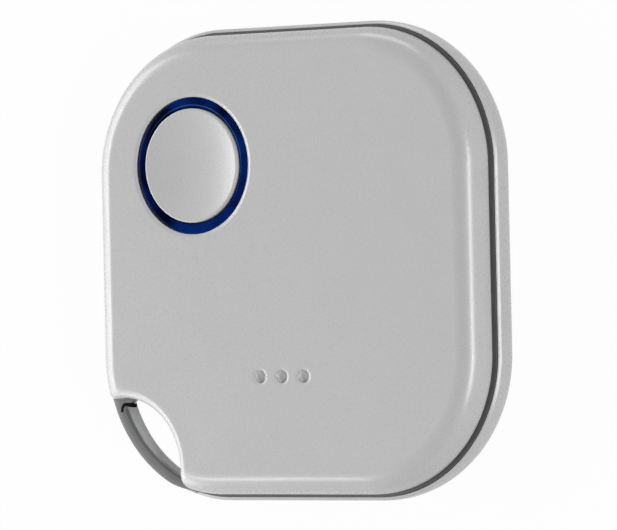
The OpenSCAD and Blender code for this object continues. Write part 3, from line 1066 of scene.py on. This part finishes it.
@dataclass
class KeyLoop:
    """One layer of the key loop across the scooped corner."""

    plan: Plan
    name: str
    low: float
    high: float
    width: float = 0.9
    set_in: float = 0.05
    hole_r: float = 0.55
    web: float = 0.0
    web_run: float = 14.0
    edge_r: float = 0.12
    edge_points: int = 5
    smooth_deg: float = 60.0
    middle: float = 12.95
    middle_deg: float = 225.0
    spread: float = 101.0
    steps: int = 150
    root: float = 0.35
    tail: float = 0.0
    tail_from: float = 55.0
    near_reach: float = 8.0
    far_reach: float = 12.0
    far_mark: float = 1e-9

    def hole(self, p: np.ndarray) -> np.ndarray:
        """Field of the key hole with its rounded ends."""
        web = self.web * np.clip((self.spread - np.abs(self.away(p))) / self.web_run, 0.0, 1.0)
        return round_max(self.plan.side(p, self.width), web - self.plan.scoop(p, 0.0), self.hole_r)

    def reach(self, p: np.ndarray) -> np.ndarray:
        """Field of the space that the loop may fill, with its tail tucked in towards the groove.

        Args:
            p: Points to measure.

        Returns:
            The field, below zero inside.
        """
        share = (self.away(p) - self.tail_from) / (self.spread - self.tail_from)
        inset = self.set_in + self.tail * ease(share)
        return np.maximum(self.plan.side(p, inset), -self.plan.scoop(p, self.root))

    def away(self, p: np.ndarray) -> np.ndarray:
        """Angle from the middle of the loop, in degrees, above zero towards its lower end."""
        turn = np.degrees(np.arctan2(p[..., 1] + self.middle, p[..., 0] + self.middle))
        return turn % 360 - self.middle_deg

    def build(self, finish: bpy.types.Material) -> bpy.types.Object:
        """Makes the band.

        Args:
            finish: Finish of the band.

        Returns:
            The band.
        """
        turn = np.radians(self.middle_deg + np.linspace(-self.spread, self.spread, self.steps))
        start = np.full((len(turn), 3), -self.middle)
        start[:, 2] = 0
        aim = np.c_[np.cos(turn), np.sin(turn), np.zeros(len(turn))]
        near = trace(self.hole, start, aim, self.near_reach)
        far = trace(self.reach, start, aim, self.far_reach)
        span = np.linalg.norm(far - near, axis=1)
        lines = []
        for across, z in self._section():
            depth = np.where(across >= 0, across, span + across)
            points = near + aim * depth[:, None]
            points[:, 2] = z
            lines.append(points)
        work = MeshWork()
        work.tube(lines)
        return work.object(self.name, finish, self.smooth_deg)

    def _section(self) -> list[Point]:
        """Rounded cross-section of the band.

        Returns:
            Depth from the near side, or below zero from the far side, and height of each point.
        """
        rise = np.radians(np.linspace(0, 90, self.edge_points))
        points = []
        for side, z, inward, angles in ((1, self.high, -1, rise), (-1, self.high, -1, rise[::-1]),
                                        (-1, self.low, 1, rise), (1, self.low, 1, rise[::-1])):
            mark = self.far_mark if side < 0 else 0.0
            for a in angles:
                across = side * (self.edge_r * (1 - math.cos(a)) + mark)
                points.append((across, z + inward * self.edge_r * (1 - math.sin(a))))
        return points


@dataclass
class PaintedShadowStrip:
    """Near-black strip that paints the shadow in the gap round the upper root of the key loop."""

    path: tuple[Point, ...] = (
        (-16.60, -11.18), (-16.58, -10.92), (-16.48, -10.70), (-16.28, -10.57), (-16.00, -10.60),
        (-15.78, -10.64), (-15.56, -10.68),
    )
    width: float = 0.26
    low: float = 3.40
    high: float = 3.956
    edge: float = 0.02
    steps: int = 8
    smooth_deg: float = 40.0

    def build(self, finish: bpy.types.Material) -> bpy.types.Object:
        """Makes the strip.

        Args:
            finish: Finish of the strip.

        Returns:
            The strip.
        """
        line = self._smooth()
        along = np.gradient(line, axis=0)
        across = np.c_[-along[:, 1], along[:, 0]] / np.linalg.norm(along, axis=1)[:, None]
        half, e = self.width / 2, self.edge
        section = ((half, self.low), (half, self.high - e), (half - e, self.high), (e - half, self.high),
                   (-half, self.high - e), (-half, self.low))
        work = MeshWork()
        work.tube([np.c_[line + across * off, np.full(len(line), z)] for off, z in section])
        return work.object("loop_root_seal", finish, self.smooth_deg)

    def _smooth(self) -> np.ndarray:
        """Smooth curve through the path's points, a cubic between each pair.

        Returns:
            The curve's points.
        """
        p = np.array(self.path)
        p = np.vstack([2 * p[0] - p[1], p, 2 * p[-1] - p[-2]])
        points = []
        for a, b, c, d in zip(p, p[1:], p[2:], p[3:]):
            for t in np.linspace(0, 1, self.steps, endpoint=False):
                bend = 2 * a - 5 * b + 4 * c - d + t * (3 * (b - c) + d - a)
                points.append(b + 0.5 * t * (c - a + t * bend))
        return np.array([*points, p[-2]])


@dataclass
class PushButton:
    """Dished cap and the light ring round it."""

    at: Point
    steps: int = 192
    cap_r: float = 4.36
    rim_z: float = 6.1
    dish: float = 0.45
    dish_pole_r: float = 0.25
    dish_crisp: float = 0.03
    dish_loops: int = 25
    cap_edge_r: float = 0.15
    cap_edge_steps: int = 12
    cap_wall: float = 0.7
    cap_smooth_deg: float = 40.0
    ceiling_z: float = 5.25
    ceiling_chamfer: float = 0.3
    cap_low: float = 4.0
    flange_r: float = 4.84
    flange_t: float = 0.4
    flange_chamfer: float = 0.06
    plunger_r: float = 0.9
    plunger_foot: float = 0.1
    plunger_chamfer: float = 0.08
    stem_top: float = 4.7
    ring_top: float = 5.96
    ring_bore: float = 4.42
    ring_bevel: float = 0.12
    ring_bulge: tuple[float, float] = (0.5, 0.42)
    ring_edge: float = 0.05
    ring_ease: float = 0.3
    ring_outer: float = 5.20
    ring_low: float = 3.9
    ring_counter: float = 4.94
    ring_skirt: float = 5.49
    ring_flange_r: float = 6.04
    ring_flange: tuple[float, float] = (4.6, 5.1)
    ring_step: float = 4.45
    ring_smooth_deg: float = 50.0

    def cap(self, finish: bpy.types.Material) -> bpy.types.Object:
        """Makes the dished cap with its hollow underside and plunger.

        Args:
            finish: Finish of the cap.

        Returns:
            The cap.
        """
        e = self.cap_edge_r
        reach = self.cap_r - e
        bowl = (reach ** 2 + self.dish ** 2) / (2 * self.dish)
        middle = self.rim_z - e + math.sqrt((bowl + e) ** 2 - reach ** 2)
        lean = math.asin(reach / (bowl + e))
        end = bowl * math.sin(lean)
        profile = []
        for r in (*np.linspace(self.dish_pole_r, end - self.dish_crisp, self.dish_loops), end):
            profile.append((float(r), middle - math.sqrt(bowl ** 2 - r ** 2)))
        profile += arc(reach, self.rim_z - e, e, 90 + math.degrees(lean), 0, self.cap_edge_steps)[1:]
        profile += self._under_cap()
        work = MeshWork()
        rings = lathe(profile, self.at, self.steps, work)
        work.fan(rings[0], (*self.at, middle - bowl))
        work.fan(rings[-1], (*self.at, self.stem_top))
        return work.object("push_button", finish, self.cap_smooth_deg)

    def _under_cap(self) -> list[Point]:
        """Radius and height from the cap's wall round its flange and hollow to the plunger.

        Returns:
            The points in order.
        """
        shoulder, f = self.cap_low + self.flange_t, self.flange_chamfer
        bore, c = self.cap_r - self.cap_wall, self.ceiling_chamfer
        return [(self.cap_r, shoulder), (self.flange_r - f, shoulder), (self.flange_r, shoulder - f),
                (self.flange_r, self.cap_low), (bore, self.cap_low), (bore, self.ceiling_z - c),
                (bore - c, self.ceiling_z), (self.plunger_r + self.plunger_foot, self.ceiling_z),
                (self.plunger_r, self.ceiling_z - self.plunger_foot),
                (self.plunger_r, self.stem_top + self.plunger_chamfer),
                (self.plunger_r - self.plunger_chamfer, self.stem_top)]

    def lens(self, finish: bpy.types.Material) -> bpy.types.Object:
        """Makes the light ring.

        Args:
            finish: Finish of the ring.

        Returns:
            The ring.
        """
        bore, top, outer = self.ring_bore, self.ring_top, self.ring_outer
        b, s = self.ring_bevel, self.ring_edge
        soft = s * self.ring_ease
        over, under = (b * share for share in self.ring_bulge)
        low, high = self.ring_flange
        profile = [(bore, self.ring_step), (bore, top - b - s), (bore + soft, top - b),
                   (bore + over, top - under), (bore + b, top - soft), (bore + b + s, top),
                   (outer - s, top), (outer, top - s), (outer, high),
                   (self.ring_flange_r, high), (self.ring_flange_r, low), (self.ring_skirt, low),
                   (self.ring_skirt, self.ring_low), (self.ring_counter, self.ring_low),
                   (self.ring_counter, self.ring_step)]
        work = MeshWork()
        rings = lathe(profile, self.at, self.steps, work)
        work.bridge(rings[-1], rings[0])
        return work.object("light_ring_lens", finish, self.ring_smooth_deg)


@dataclass
class Row:
    """Geometry Nodes tree that repeats a template along a line."""

    name: str
    count: int
    start: Sequence[float]
    step: Sequence[float]

    def build(self, template: bpy.types.Object, material: bpy.types.Material) -> bpy.types.Object:
        """Repeats the template and keeps the result as a plain mesh.

        Args:
            template: Shape to repeat, modelled about the origin; it is left in place.
            material: Finish of the copies.

        Returns:
            The row.
        """
        tree = bpy.data.node_groups.new(self.name + "_tree", "GeometryNodeTree")
        inputs = self._grow(tree)
        carrier = linked(self.name, bpy.data.meshes.new(self.name + "_seed"))
        modifier = carrier.modifiers.new("row", "NODES")
        modifier.node_group = tree
        modifier[inputs["Count"]] = self.count
        modifier[inputs["Start"]] = tuple(Vector(self.start) * MM)
        modifier[inputs["Step"]] = tuple(Vector(self.step) * MM)
        modifier[inputs["Template"]] = template
        modifier[inputs["Finish"]] = material
        graph = bpy.context.evaluated_depsgraph_get()
        mesh = bpy.data.meshes.new_from_object(carrier.evaluated_get(graph))
        carrier.modifiers.remove(modifier)
        carrier.data = mesh
        return carrier

    @staticmethod
    def _grow(tree: bpy.types.GeometryNodeTree) -> dict[str, str]:
        """Adds the tree's inputs and nodes.

        Args:
            tree: The empty tree.

        Returns:
            The identifier of each named input.
        """
        inputs = {}
        for label, kind in (("Count", "Int"), ("Start", "Vector"), ("Step", "Vector"),
                            ("Template", "Object"), ("Finish", "Material")):
            made = tree.interface.new_socket(label, in_out="INPUT", socket_type="NodeSocket" + kind)
            inputs[label] = made.identifier
        tree.interface.new_socket("Geometry", in_out="OUTPUT", socket_type="NodeSocketGeometry")
        source = tree.nodes.new("NodeGroupInput")
        line = tree.nodes.new("GeometryNodeMeshLine")
        info = tree.nodes.new("GeometryNodeObjectInfo")
        copies = tree.nodes.new("GeometryNodeInstanceOnPoints")
        real = tree.nodes.new("GeometryNodeRealizeInstances")
        paint = tree.nodes.new("GeometryNodeSetMaterial")
        sink = tree.nodes.new("NodeGroupOutput")
        for start, out, end, into in (
            (source, "Count", line, "Count"), (source, "Start", line, "Start Location"),
            (source, "Step", line, "Offset"), (source, "Template", info, "Object"),
            (line, "Mesh", copies, "Points"), (info, "Geometry", copies, "Instance"),
            (copies, "Instances", real, "Geometry"), (real, "Geometry", paint, "Geometry"),
            (source, "Finish", paint, "Material"), (paint, "Geometry", sink, "Geometry"),
        ):
            tree.links.new(start.outputs[out], end.inputs[into])
        return inputs


def joined(name: str, pieces: Sequence[bpy.types.Object]) -> bpy.types.Object:
    """Joins meshes of one finish each into one object.

    Args:
        name: Name of the result.
        pieces: Objects to join; they are removed.

    Returns:
        The joined object.
    """
    bm = bmesh.new()
    mesh = bpy.data.meshes.new(name)
    for piece in pieces:
        finish = piece.data.materials[0]
        if finish.name not in [m.name for m in mesh.materials]:
            mesh.materials.append(finish)
        first = len(bm.faces)
        bm.from_mesh(piece.data)
        bm.faces.ensure_lookup_table()
        number = [m.name for m in mesh.materials].index(finish.name)
        for face in bm.faces[first:]:
            face.material_index = number
        bpy.data.objects.remove(piece)
    bm.to_mesh(mesh)
    bm.free()
    return linked(name, mesh)


@dataclass(frozen=True)
class EndedPart:
    """Ceramic core with metal ends, as small board parts have."""

    end: float
    inset: float
    core_edge: float
    end_edge: float

    def build(self, low: Vector, high: Vector, body: bpy.types.Material,
              metal: bpy.types.Material) -> list[bpy.types.Object]:
        """Makes the core and the two ends of its longer side.

        Args:
            low: Lowest corner.
            high: Highest corner.
            body: Finish of the core.
            metal: Finish of the ends.

        Returns:
            The core, then the ends.
        """
        size = high - low
        along = Vector((1, 0, 0)) if size.x > size.y else Vector((0, 1, 0))
        inside = Vector((self.inset, self.inset, self.inset))
        rest = size.dot(along) - self.end
        core = block("core", low + inside, high - inside, self.core_edge, body)
        ends = [block("end", low + along * shift, high - along * (rest - shift), self.end_edge, metal)
                for shift in (0.0, rest)]
        return [core, *ends]


@dataclass(frozen=True)
class PartRow:
    """Row of equal small parts on the board."""

    name: str
    start: Point
    step: Point
    size: Point
    count: int = 5


@dataclass
class BoardParts:
    """Small parts on the board, each with more shape than its solid."""

    top: float = 3.4
    under: float = 2.65
    chip_inset: float = 0.03
    chip_stand: float = 0.06
    chip_edge: float = 0.05
    mark_at: tuple[float, float] = (0.45, 0.8)
    mark_depth: float = 0.03
    mark_edge: float = 0.012
    pad_pitch: float = 0.5
    pad_count: int = 9
    pad_half: tuple[float, float] = (0.12, 0.2)
    pad_t: float = 0.16
    pad_edge: float = 0.02
    foot_share: float = 0.45
    foot_edge: float = 0.04
    lid_margin: float = 0.12
    lid_share: float = 0.42
    lid_edge: float = 0.07
    antenna: EndedPart = EndedPart(end=0.6, inset=0.03, core_edge=0.05, end_edge=0.06)
    capacitor: EndedPart = EndedPart(end=0.5, inset=0.03, core_edge=0.05, end_edge=0.06)
    passive: EndedPart = EndedPart(end=0.25, inset=0.02, core_edge=0.03, end_edge=0.04)
    rows: tuple[PartRow, ...] = (
        PartRow("chip_row", (3.2, 9.6), (0, 0.8), (1.0, 0.5)),
        PartRow("antenna_row", (-12.3, -6.0), (0.8, 0), (0.5, 1.0)),
    )
    row_h: float = 0.4
    light_r: float = 5.59
    light_half: tuple[float, float] = (0.25, 0.5)
    light_foot_h: float = 0.16
    light_foot_edge: float = 0.02
    light_lens: tuple[float, float] = (0.8, 0.62)
    light_lens_z: tuple[float, float] = (0.14, 0.4)
    light_lens_edge: float = 0.08
    test_pad: tuple[Point, ...] = ((0.45, 0.0), (0.45, 0.015), (0.42, 0.03), (0.16, 0.03), (0.12, 0.015),
                                   (0.12, 0.0))
    test_pad_t: float = 0.03
    test_pad_steps: int = 20
    test_pad_smooth_deg: float = 30.0
    test_pad_x: float = -6.5
    test_pad_pitch: float = 1.6
    test_pad_rows: tuple[float, float] = (-13.2, 12.6)
    test_pad_count: int = 6

    def chip(self, looks: Finishes) -> bpy.types.Object:
        """Makes the radio chip with its pads.

        Args:
            looks: All finishes.

        Returns:
            The chip.
        """
        low, high = corners("radio_chip")
        inset = Vector((self.chip_inset, self.chip_inset, 0))
        foot = low + inset + Vector((0, 0, self.chip_stand))
        body = block("chip_body", foot, high - inset, self.chip_edge, looks.chip)
        near, far = self.mark_at
        mark = block("chip_mark", (low.x + near, high.y - far, high.z - self.mark_depth),
                     (low.x + far, high.y - near, high.z), self.mark_edge, looks.fill)
        pieces = [body, mark]
        long = self.pad_half[1]
        sides = ((low.x + long, low.y, 0, 1), (high.x - long, low.y, 0, 1), (low.x, low.y + long, 1, 0),
                 (low.x, high.y - long, 1, 0))
        for k, (x, y, along_x, along_y) in enumerate(sides):
            half = Vector((self.pad_half[along_y], self.pad_half[along_x], 0))
            pad = block("chip_pad", -half, half + Vector((0, 0, self.pad_t)), self.pad_edge, looks.copper)
            step = (along_x * self.pad_pitch, along_y * self.pad_pitch, 0)
            row = Row(f"chip_pads_{k}", self.pad_count, (x + step[0], y + step[1], self.top), step)
            pieces.append(row.build(pad, looks.copper))
            bpy.data.objects.remove(pad)
        return joined("radio_chip_body", pieces)

    def crystal(self, node: str, looks: Finishes) -> bpy.types.Object:
        """Makes a canned crystal: ceramic foot and metal lid.

        Args:
            node: Solid that it stands for.
            looks: All finishes.

        Returns:
            The crystal.
        """
        low, high = corners(node)
        rise = high.z - low.z
        margin = Vector((self.lid_margin, self.lid_margin, 0))
        foot_high = (high.x, high.y, low.z + rise * self.foot_share)
        foot = block("foot", low, foot_high, self.foot_edge, looks.ceramic)
        lid_low = low + margin + Vector((0, 0, rise * self.lid_share))
        lid = block("lid", lid_low, high - margin, self.lid_edge, looks.steel)
        return joined(node + "_can", [foot, lid])

    def aerial(self, looks: Finishes) -> bpy.types.Object:
        """Makes the ceramic antenna with its metal ends."""
        pieces = self.antenna.build(*corners("chip_antenna"), looks.ceramic, looks.steel)
        return joined("antenna_block", pieces)

    def supply(self, looks: Finishes) -> bpy.types.Object:
        """Makes the supply capacitor with its metal ends."""
        pieces = self.capacitor.build(*corners("bulk_capacitor"), looks.tan, looks.steel)
        return joined("supply_capacitor", pieces)

    def passives(self, looks: Finishes) -> bpy.types.Object:
        """Makes the two rows of small capacitors and resistors.

        Args:
            looks: All finishes.

        Returns:
            Both rows as one piece.
        """
        pieces = []
        for spec in self.rows:
            half = Vector((*spec.size, self.row_h)) / 2
            core, *ends = self.passive.build(-half, half, looks.tan, looks.steel)
            pair = joined("ends", ends)
            for part, label, finish in ((core, "cores", looks.tan), (pair, "ends", looks.steel)):
                start = (*spec.start, self.top + self.row_h / 2)
                row = Row(f"{spec.name}_{label}", spec.count, start, (*spec.step, 0))
                pieces.append(row.build(part, finish))
                bpy.data.objects.remove(part)
        return joined("passive_rows", pieces)

    def lights(self, looks: Finishes, at: Point) -> bpy.types.Object:
        """Makes the four small lights under the ring.

        Args:
            looks: All finishes.
            at: Axis of the button.

        Returns:
            The lights as one piece.
        """
        pieces = []
        wide, deep = self.light_lens
        lens_low, lens_high = self.light_lens_z
        for c, s in ((1, 0), (0, 1), (-1, 0), (0, -1)):
            middle = Vector((at[0] + self.light_r * c, at[1] + self.light_r * s, self.top))
            hx, hy = self.light_half if c else self.light_half[::-1]
            pieces.append(block("led_foot", middle - Vector((hx, hy, 0)),
                                middle + Vector((hx, hy, self.light_foot_h)), self.light_foot_edge,
                                looks.ceramic))
            pieces.append(block("led_lens", middle + Vector((-hx * wide, -hy * deep, lens_low)),
                                middle + Vector((hx * wide, hy * deep, lens_high)), self.light_lens_edge,
                                looks.resin))
        return joined("ring_lights", pieces)

    def test_pads(self, looks: Finishes) -> bpy.types.Object:
        """Makes the round pads on the board's underside.

        Args:
            looks: All finishes.

        Returns:
            The pads as one piece.
        """
        work = MeshWork()
        rings = lathe(self.test_pad, (0.0, 0.0), self.test_pad_steps, work)
        work.bridge(rings[-1], rings[0])
        pad = work.object("pad", looks.copper, self.test_pad_smooth_deg)
        pieces = []
        for k, y in enumerate(self.test_pad_rows):
            start = (self.test_pad_x, y, self.under - self.test_pad_t)
            row = Row(f"pads_{k}", self.test_pad_count, start, (self.test_pad_pitch, 0, 0))
            pieces.append(row.build(pad, looks.copper))
        bpy.data.objects.remove(pad)
        return joined("board_test_pads", pieces)


@dataclass
class CoinCell:
    """Round cell: crimped can and stepped cap."""

    r: float = 10.0
    steps: int = 160
    pole_r: float = 0.4
    smooth_deg: float = 45.0
    low: float = 0.75
    can_top: float = 2.15
    can_t: float = 0.2
    foot_r: float = 0.35
    edge_steps: int = 8
    foot_step: tuple[float, float] = (0.9, 0.8)
    foot_rise: float = 0.02
    cap_low: float = 1.85
    cap_top: float = 2.35
    cap_r: float = 8.85
    cap_flat: float = 0.6
    shoulder_r: float = 0.12
    shoulder_steps: int = 6
    waist: tuple[float, float] = (0.05, 0.2)

    def can(self, finish: bpy.types.Material) -> bpy.types.Object:
        """Makes the can with its rounded foot and rolled lip.

        Args:
            finish: Finish of the can.

        Returns:
            The can.
        """
        t, f = self.can_t, self.foot_r
        outer, inner = self.foot_step
        profile = [(self.pole_r, self.low), (self.r - outer, self.low),
                   (self.r - inner, self.low + self.foot_rise)]
        profile += arc(self.r - f, self.low + f, f, -90, 0, self.edge_steps)
        profile += arc(self.r - t / 2, self.can_top - t / 2, t / 2, 0, 180, self.edge_steps)
        profile += [(self.r - t, self.low + t), (self.pole_r, self.low + t)]
        return self._turned("cell_can_crimped", profile, finish)

    def cap(self, finish: bpy.types.Material) -> bpy.types.Object:
        """Makes the cap with its rounded shoulder.

        Args:
            finish: Finish of the cap.

        Returns:
            The cap.
        """
        r, (waist, drop) = self.shoulder_r, self.waist
        profile = [(self.pole_r, self.cap_top), (self.cap_r - self.cap_flat, self.cap_top)]
        profile += arc(self.cap_r - r, self.cap_top - r, r, 90, 0, self.shoulder_steps)
        profile += [(self.cap_r - waist, self.cap_top - drop), (self.cap_r - waist, self.cap_low),
                    (self.pole_r, self.cap_low)]
        return self._turned("cell_cap_shoulder", profile, finish)

    def _turned(self, name: str, profile: list[Point], finish: bpy.types.Material) -> bpy.types.Object:
        """Turns a profile about the cell's axis and closes both ends.

        Args:
            name: Name of the piece.
            profile: Radius and height of each point.
            finish: Finish of the piece.

        Returns:
            The piece.
        """
        work = MeshWork()
        rings = lathe(profile, (0.0, 0.0), self.steps, work)
        for end in (0, -1):
            work.fan(rings[end], (0, 0, profile[end][1]))
        return work.object(name, finish, self.smooth_deg)


def corners(node: str) -> tuple[Vector, Vector]:
    """Lowest and highest corner of a solid, in millimetres."""
    low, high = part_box(node)
    return low / MM, high / MM


def place(piece: bpy.types.Object, body: Body, slot: Slot, *nodes: str) -> None:
    """Puts a piece on its body in place of its solids.

    Args:
        piece: The finished piece.
        body: Body that it moves with.
        slot: Material slot that its finish belongs to; not used.
        nodes: Solids that it stands for.
    """
    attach(piece, body.value)
    if nodes:
        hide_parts(*nodes)
    LOG.info("%s rides on %s", piece.name, body.value)


@dataclass(frozen=True)
class Lamp:
    """Soft rectangular lamp that looks at the case, in metres and watts."""

    name: str
    towards: tuple[float, float, float]
    distance: float
    size: tuple[float, float]
    power: float

    def build(self) -> None:
        """Makes the lamp, turned towards the middle of the case."""
        data = bpy.data.lights.new(self.name, "AREA")
        data.shape = "RECTANGLE"
        data.size, data.size_y = self.size
        data.energy = self.power
        lamp = linked(self.name, data)
        aim = Vector(self.towards).normalized()
        lamp.location = aim * self.distance
        lamp.rotation_mode = "QUATERNION"
        lamp.rotation_quaternion = aim.to_track_quat("Z", "Y")


@dataclass
class Studio:
    """Floor, soft light and the camera at the photographed view."""

    ambient: float = 0.20
    floor_size: float = 3.0
    floor_segments: int = 4
    floor_drop: float = 0.00005
    floor_grey: float = 0.6
    floor_roughness: float = 0.9
    floor_glow: float = 0.97
    yaw: float = 35.001
    pitch: float = -0.480
    roll: float = 1.275
    centre_px: tuple[float, float] = (296.762, 262.745)
    scale_px: float = 13.219
    distance: float = 409.741
    sensor: float = 36.0
    clip: tuple[float, float] = (0.01, 20.0)
    rim_z: float = 3.65
    image: tuple[int, int] = (617, 530)
    lamps: tuple[Lamp, ...] = (
        Lamp("left_top", (-0.86, -0.10, 0.50), 0.5, (0.40, 0.05), 0.42),
        Lamp("left_high", (-0.906, 0.02, 0.423), 0.5, (0.60, 0.09), 1.50),
        Lamp("left_middle", (-0.97, 0.02, 0.242), 0.5, (0.60, 0.09), 0.45),
        Lamp("left_low", (-0.997, 0.02, 0.07), 0.5, (0.60, 0.07), 0.66),
        Lamp("right_strip", (0.82, -0.14, 0.555), 0.5, (0.36, 0.055), 1.79),
        Lamp("top_edge", (-0.25, 0.96, 0.10), 0.5, (0.30, 0.08), 0.62),
        Lamp("top_right", (0.40, 0.88, 0.22), 0.5, (0.50, 0.25), 0.18),
        Lamp("bottom_right", (0.40, -0.88, 0.15), 0.5, (0.50, 0.20), 0.10),
        Lamp("lower_left", (-0.574, -0.595, 0.564), 0.25, (0.03, 0.03), 0.071),
        Lamp("corner_glow", (-0.72, -0.66, 0.16), 0.06, (0.02, 0.02), 0.005),
    )

    def build(self) -> None:
        """Makes everything round the object."""
        scene = bpy.context.scene
        scene.view_settings.view_transform = "Standard"
        self._world(scene)
        self._floor()
        for lamp in self.lamps:
            lamp.build()
        self._camera(scene)

    def _world(self, scene: bpy.types.Scene) -> None:
        """Sets a soft white surround.

        Args:
            scene: The scene to light.
        """
        world = bpy.data.worlds.new("soft_surround")
        scene.world = world
        world.use_nodes = True
        tree = world.node_tree
        shade = tree.nodes["Background"]
        shade.inputs["Color"].default_value = (1.0, 1.0, 1.0, 1.0)
        level = node_range(tree, self._seen(tree), (0.0, 1.0), (self.ambient, 1.0))
        tree.links.new(level, shade.inputs["Strength"])

    @staticmethod
    def _seen(tree: Tree) -> Socket:
        """Adds a value that is 1 where the surround is seen, also in gloss or through glass.

        Args:
            tree: Tree that the nodes go into.

        Returns:
            The value's socket.
        """
        path = tree.nodes.new("ShaderNodeLightPath").outputs
        first = node_sum(tree, "MAXIMUM", path["Is Camera Ray"], path["Is Glossy Ray"])
        return node_sum(tree, "MAXIMUM", first, path["Is Transmission Ray"])

    def _floor(self) -> None:
        """Makes the pale floor, which keeps a faint shadow."""
        bm = bmesh.new()
        bmesh.ops.create_grid(bm, x_segments=self.floor_segments, y_segments=self.floor_segments,
                              size=self.floor_size / 2)
        mat, shader = bare_material("pale_floor", Roughness=self.floor_roughness, Specular_IOR_Level=0.0)
        shader.inputs["Base Color"].default_value = (*(self.floor_grey,) * 3, 1.0)
        tree = mat.node_tree
        glow = tree.nodes.new("ShaderNodeEmission")
        glow.inputs["Color"].default_value = (1.0, 1.0, 1.0, 1.0)
        share = node_sum(tree, "MULTIPLY", self._seen(tree), self.floor_glow)
        mix = tree.nodes.new("ShaderNodeMixShader")
        feed(tree, mix.inputs, (share, shader.outputs["BSDF"], glow.outputs["Emission"]))
        tree.links.new(mix.outputs["Shader"], tree.nodes["Material Output"].inputs["Surface"])
        floor = object_from(bm, "pale_floor", mat, 180.0)
        floor.location.z = -self.floor_drop

    def _camera(self, scene: bpy.types.Scene) -> None:
        """Places the camera at the photographed view.

        Args:
            scene: The scene that gets the camera.
        """
        wide, tall = self.image
        turn = Matrix.Identity(3)
        for angle, axis in ((-self.yaw, "Y"), (self.pitch, "X"), (self.roll, "Z")):
            turn = Matrix.Rotation(math.radians(angle), 3, axis) @ turn
        shift = Vector(((self.centre_px[0] - wide / 2) / self.scale_px,
                        -(self.centre_px[1] - tall / 2) / self.scale_px, -self.distance))
        data = bpy.data.cameras.new("photo_view")
        data.sensor_fit = "HORIZONTAL"
        data.sensor_width = self.sensor
        data.lens = self.scale_px * self.distance * self.sensor / wide
        data.clip_start, data.clip_end = self.clip
        camera = linked("photo_view", data)
        spot = -(turn.transposed() @ shift) + Vector((0, 0, self.rim_z))
        camera.matrix_world = Matrix.Translation(spot * MM) @ turn.transposed().to_4x4()
        scene.camera = camera


def dress_solids(looks: Finishes) -> None:
    """Gives each solid that stays its own finish.

    Args:
        looks: All finishes.
    """
    kept = {
        "mid_frame": looks.band, "seal_ring": looks.rubber, "switch_base": looks.switch,
        "switch_dome": looks.steel, "switch_cover": looks.steel, "switch_stem": looks.switch,
        "circuit_board": looks.board, "sounder_plate": looks.brass, "sounder_ceramic": looks.ceramic,
        "sounder_springs": looks.brass, "positive_contact": looks.brass, "negative_contact": looks.brass,
        "cell_gasket": looks.rubber, "cell_core": looks.fill,
    }
    for name, material in kept.items():
        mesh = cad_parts[name].data
        mesh.materials.clear()
        mesh.materials.append(material)
        LOG.info("%s keeps its solid", name)


def main() -> None:
    """Builds the object's pieces, its light and its camera."""
    logging.basicConfig(level=logging.INFO, format="%(name)s: %(message)s")
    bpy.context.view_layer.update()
    low, high = corners("button_cap")
    axis = ((low.x + high.x) / 2, (low.y + high.y) / 2)
    looks = Finishes(axis)
    plan = Plan()
    button = PushButton(axis)
    board = BoardParts()
    cell = CoinCell()
    Studio().build()
    dress_solids(looks)
    place(FrontShell(plan, axis).build(looks.shell), Body.FRONT, Slot.SHELL, "front_cover")
    place(RearShell(plan).build(looks.shell), Body.REAR, Slot.SHELL, "rear_cover")
    rear_loop = KeyLoop(plan, "loop_rear_band", low=2.2, high=3.4)
    place(rear_loop.build(looks.loop_rear), Body.REAR, Slot.SHELL, "key_loop_rear")
    front_loop = KeyLoop(plan, "loop_front_band", low=3.5, high=3.95, web=0.42, tail=0.5)
    place(front_loop.build(looks.loop_front), Body.FRONT, Slot.BAND, "key_loop_front")
    # Near-black strip that paints the shadow in the gap at the key loop's upper root.
    place(PaintedShadowStrip().build(looks.gap), Body.FRONT, Slot.SEAL)
    place(button.cap(looks.shell), Body.BUTTON, Slot.SHELL, "button_cap")
    place(button.lens(looks.ring), Body.FRONT, Slot.RING, "light_ring")
    place(board.chip(looks), Body.FRONT, Slot.CHIP, "radio_chip")
    for node in ("main_crystal", "clock_crystal"):
        place(board.crystal(node, looks), Body.FRONT, Slot.CRYSTAL, node)
    place(board.aerial(looks), Body.FRONT, Slot.ANTENNA, "chip_antenna")
    place(board.supply(looks), Body.FRONT, Slot.PASSIVE, "bulk_capacitor")
    place(board.passives(looks), Body.FRONT, Slot.PASSIVE, "passives")
    place(board.lights(looks, button.at), Body.FRONT, Slot.LED, "ring_leds")
    place(board.test_pads(looks), Body.FRONT, Slot.BOARD)
    place(cell.can(looks.cell), Body.BATTERY, Slot.CELL, "cell_can")
    place(cell.cap(looks.cell), Body.BATTERY, Slot.CELL, "cell_cap")
    bpy.context.view_layer.update()


if __name__ == "__main__":
    main()
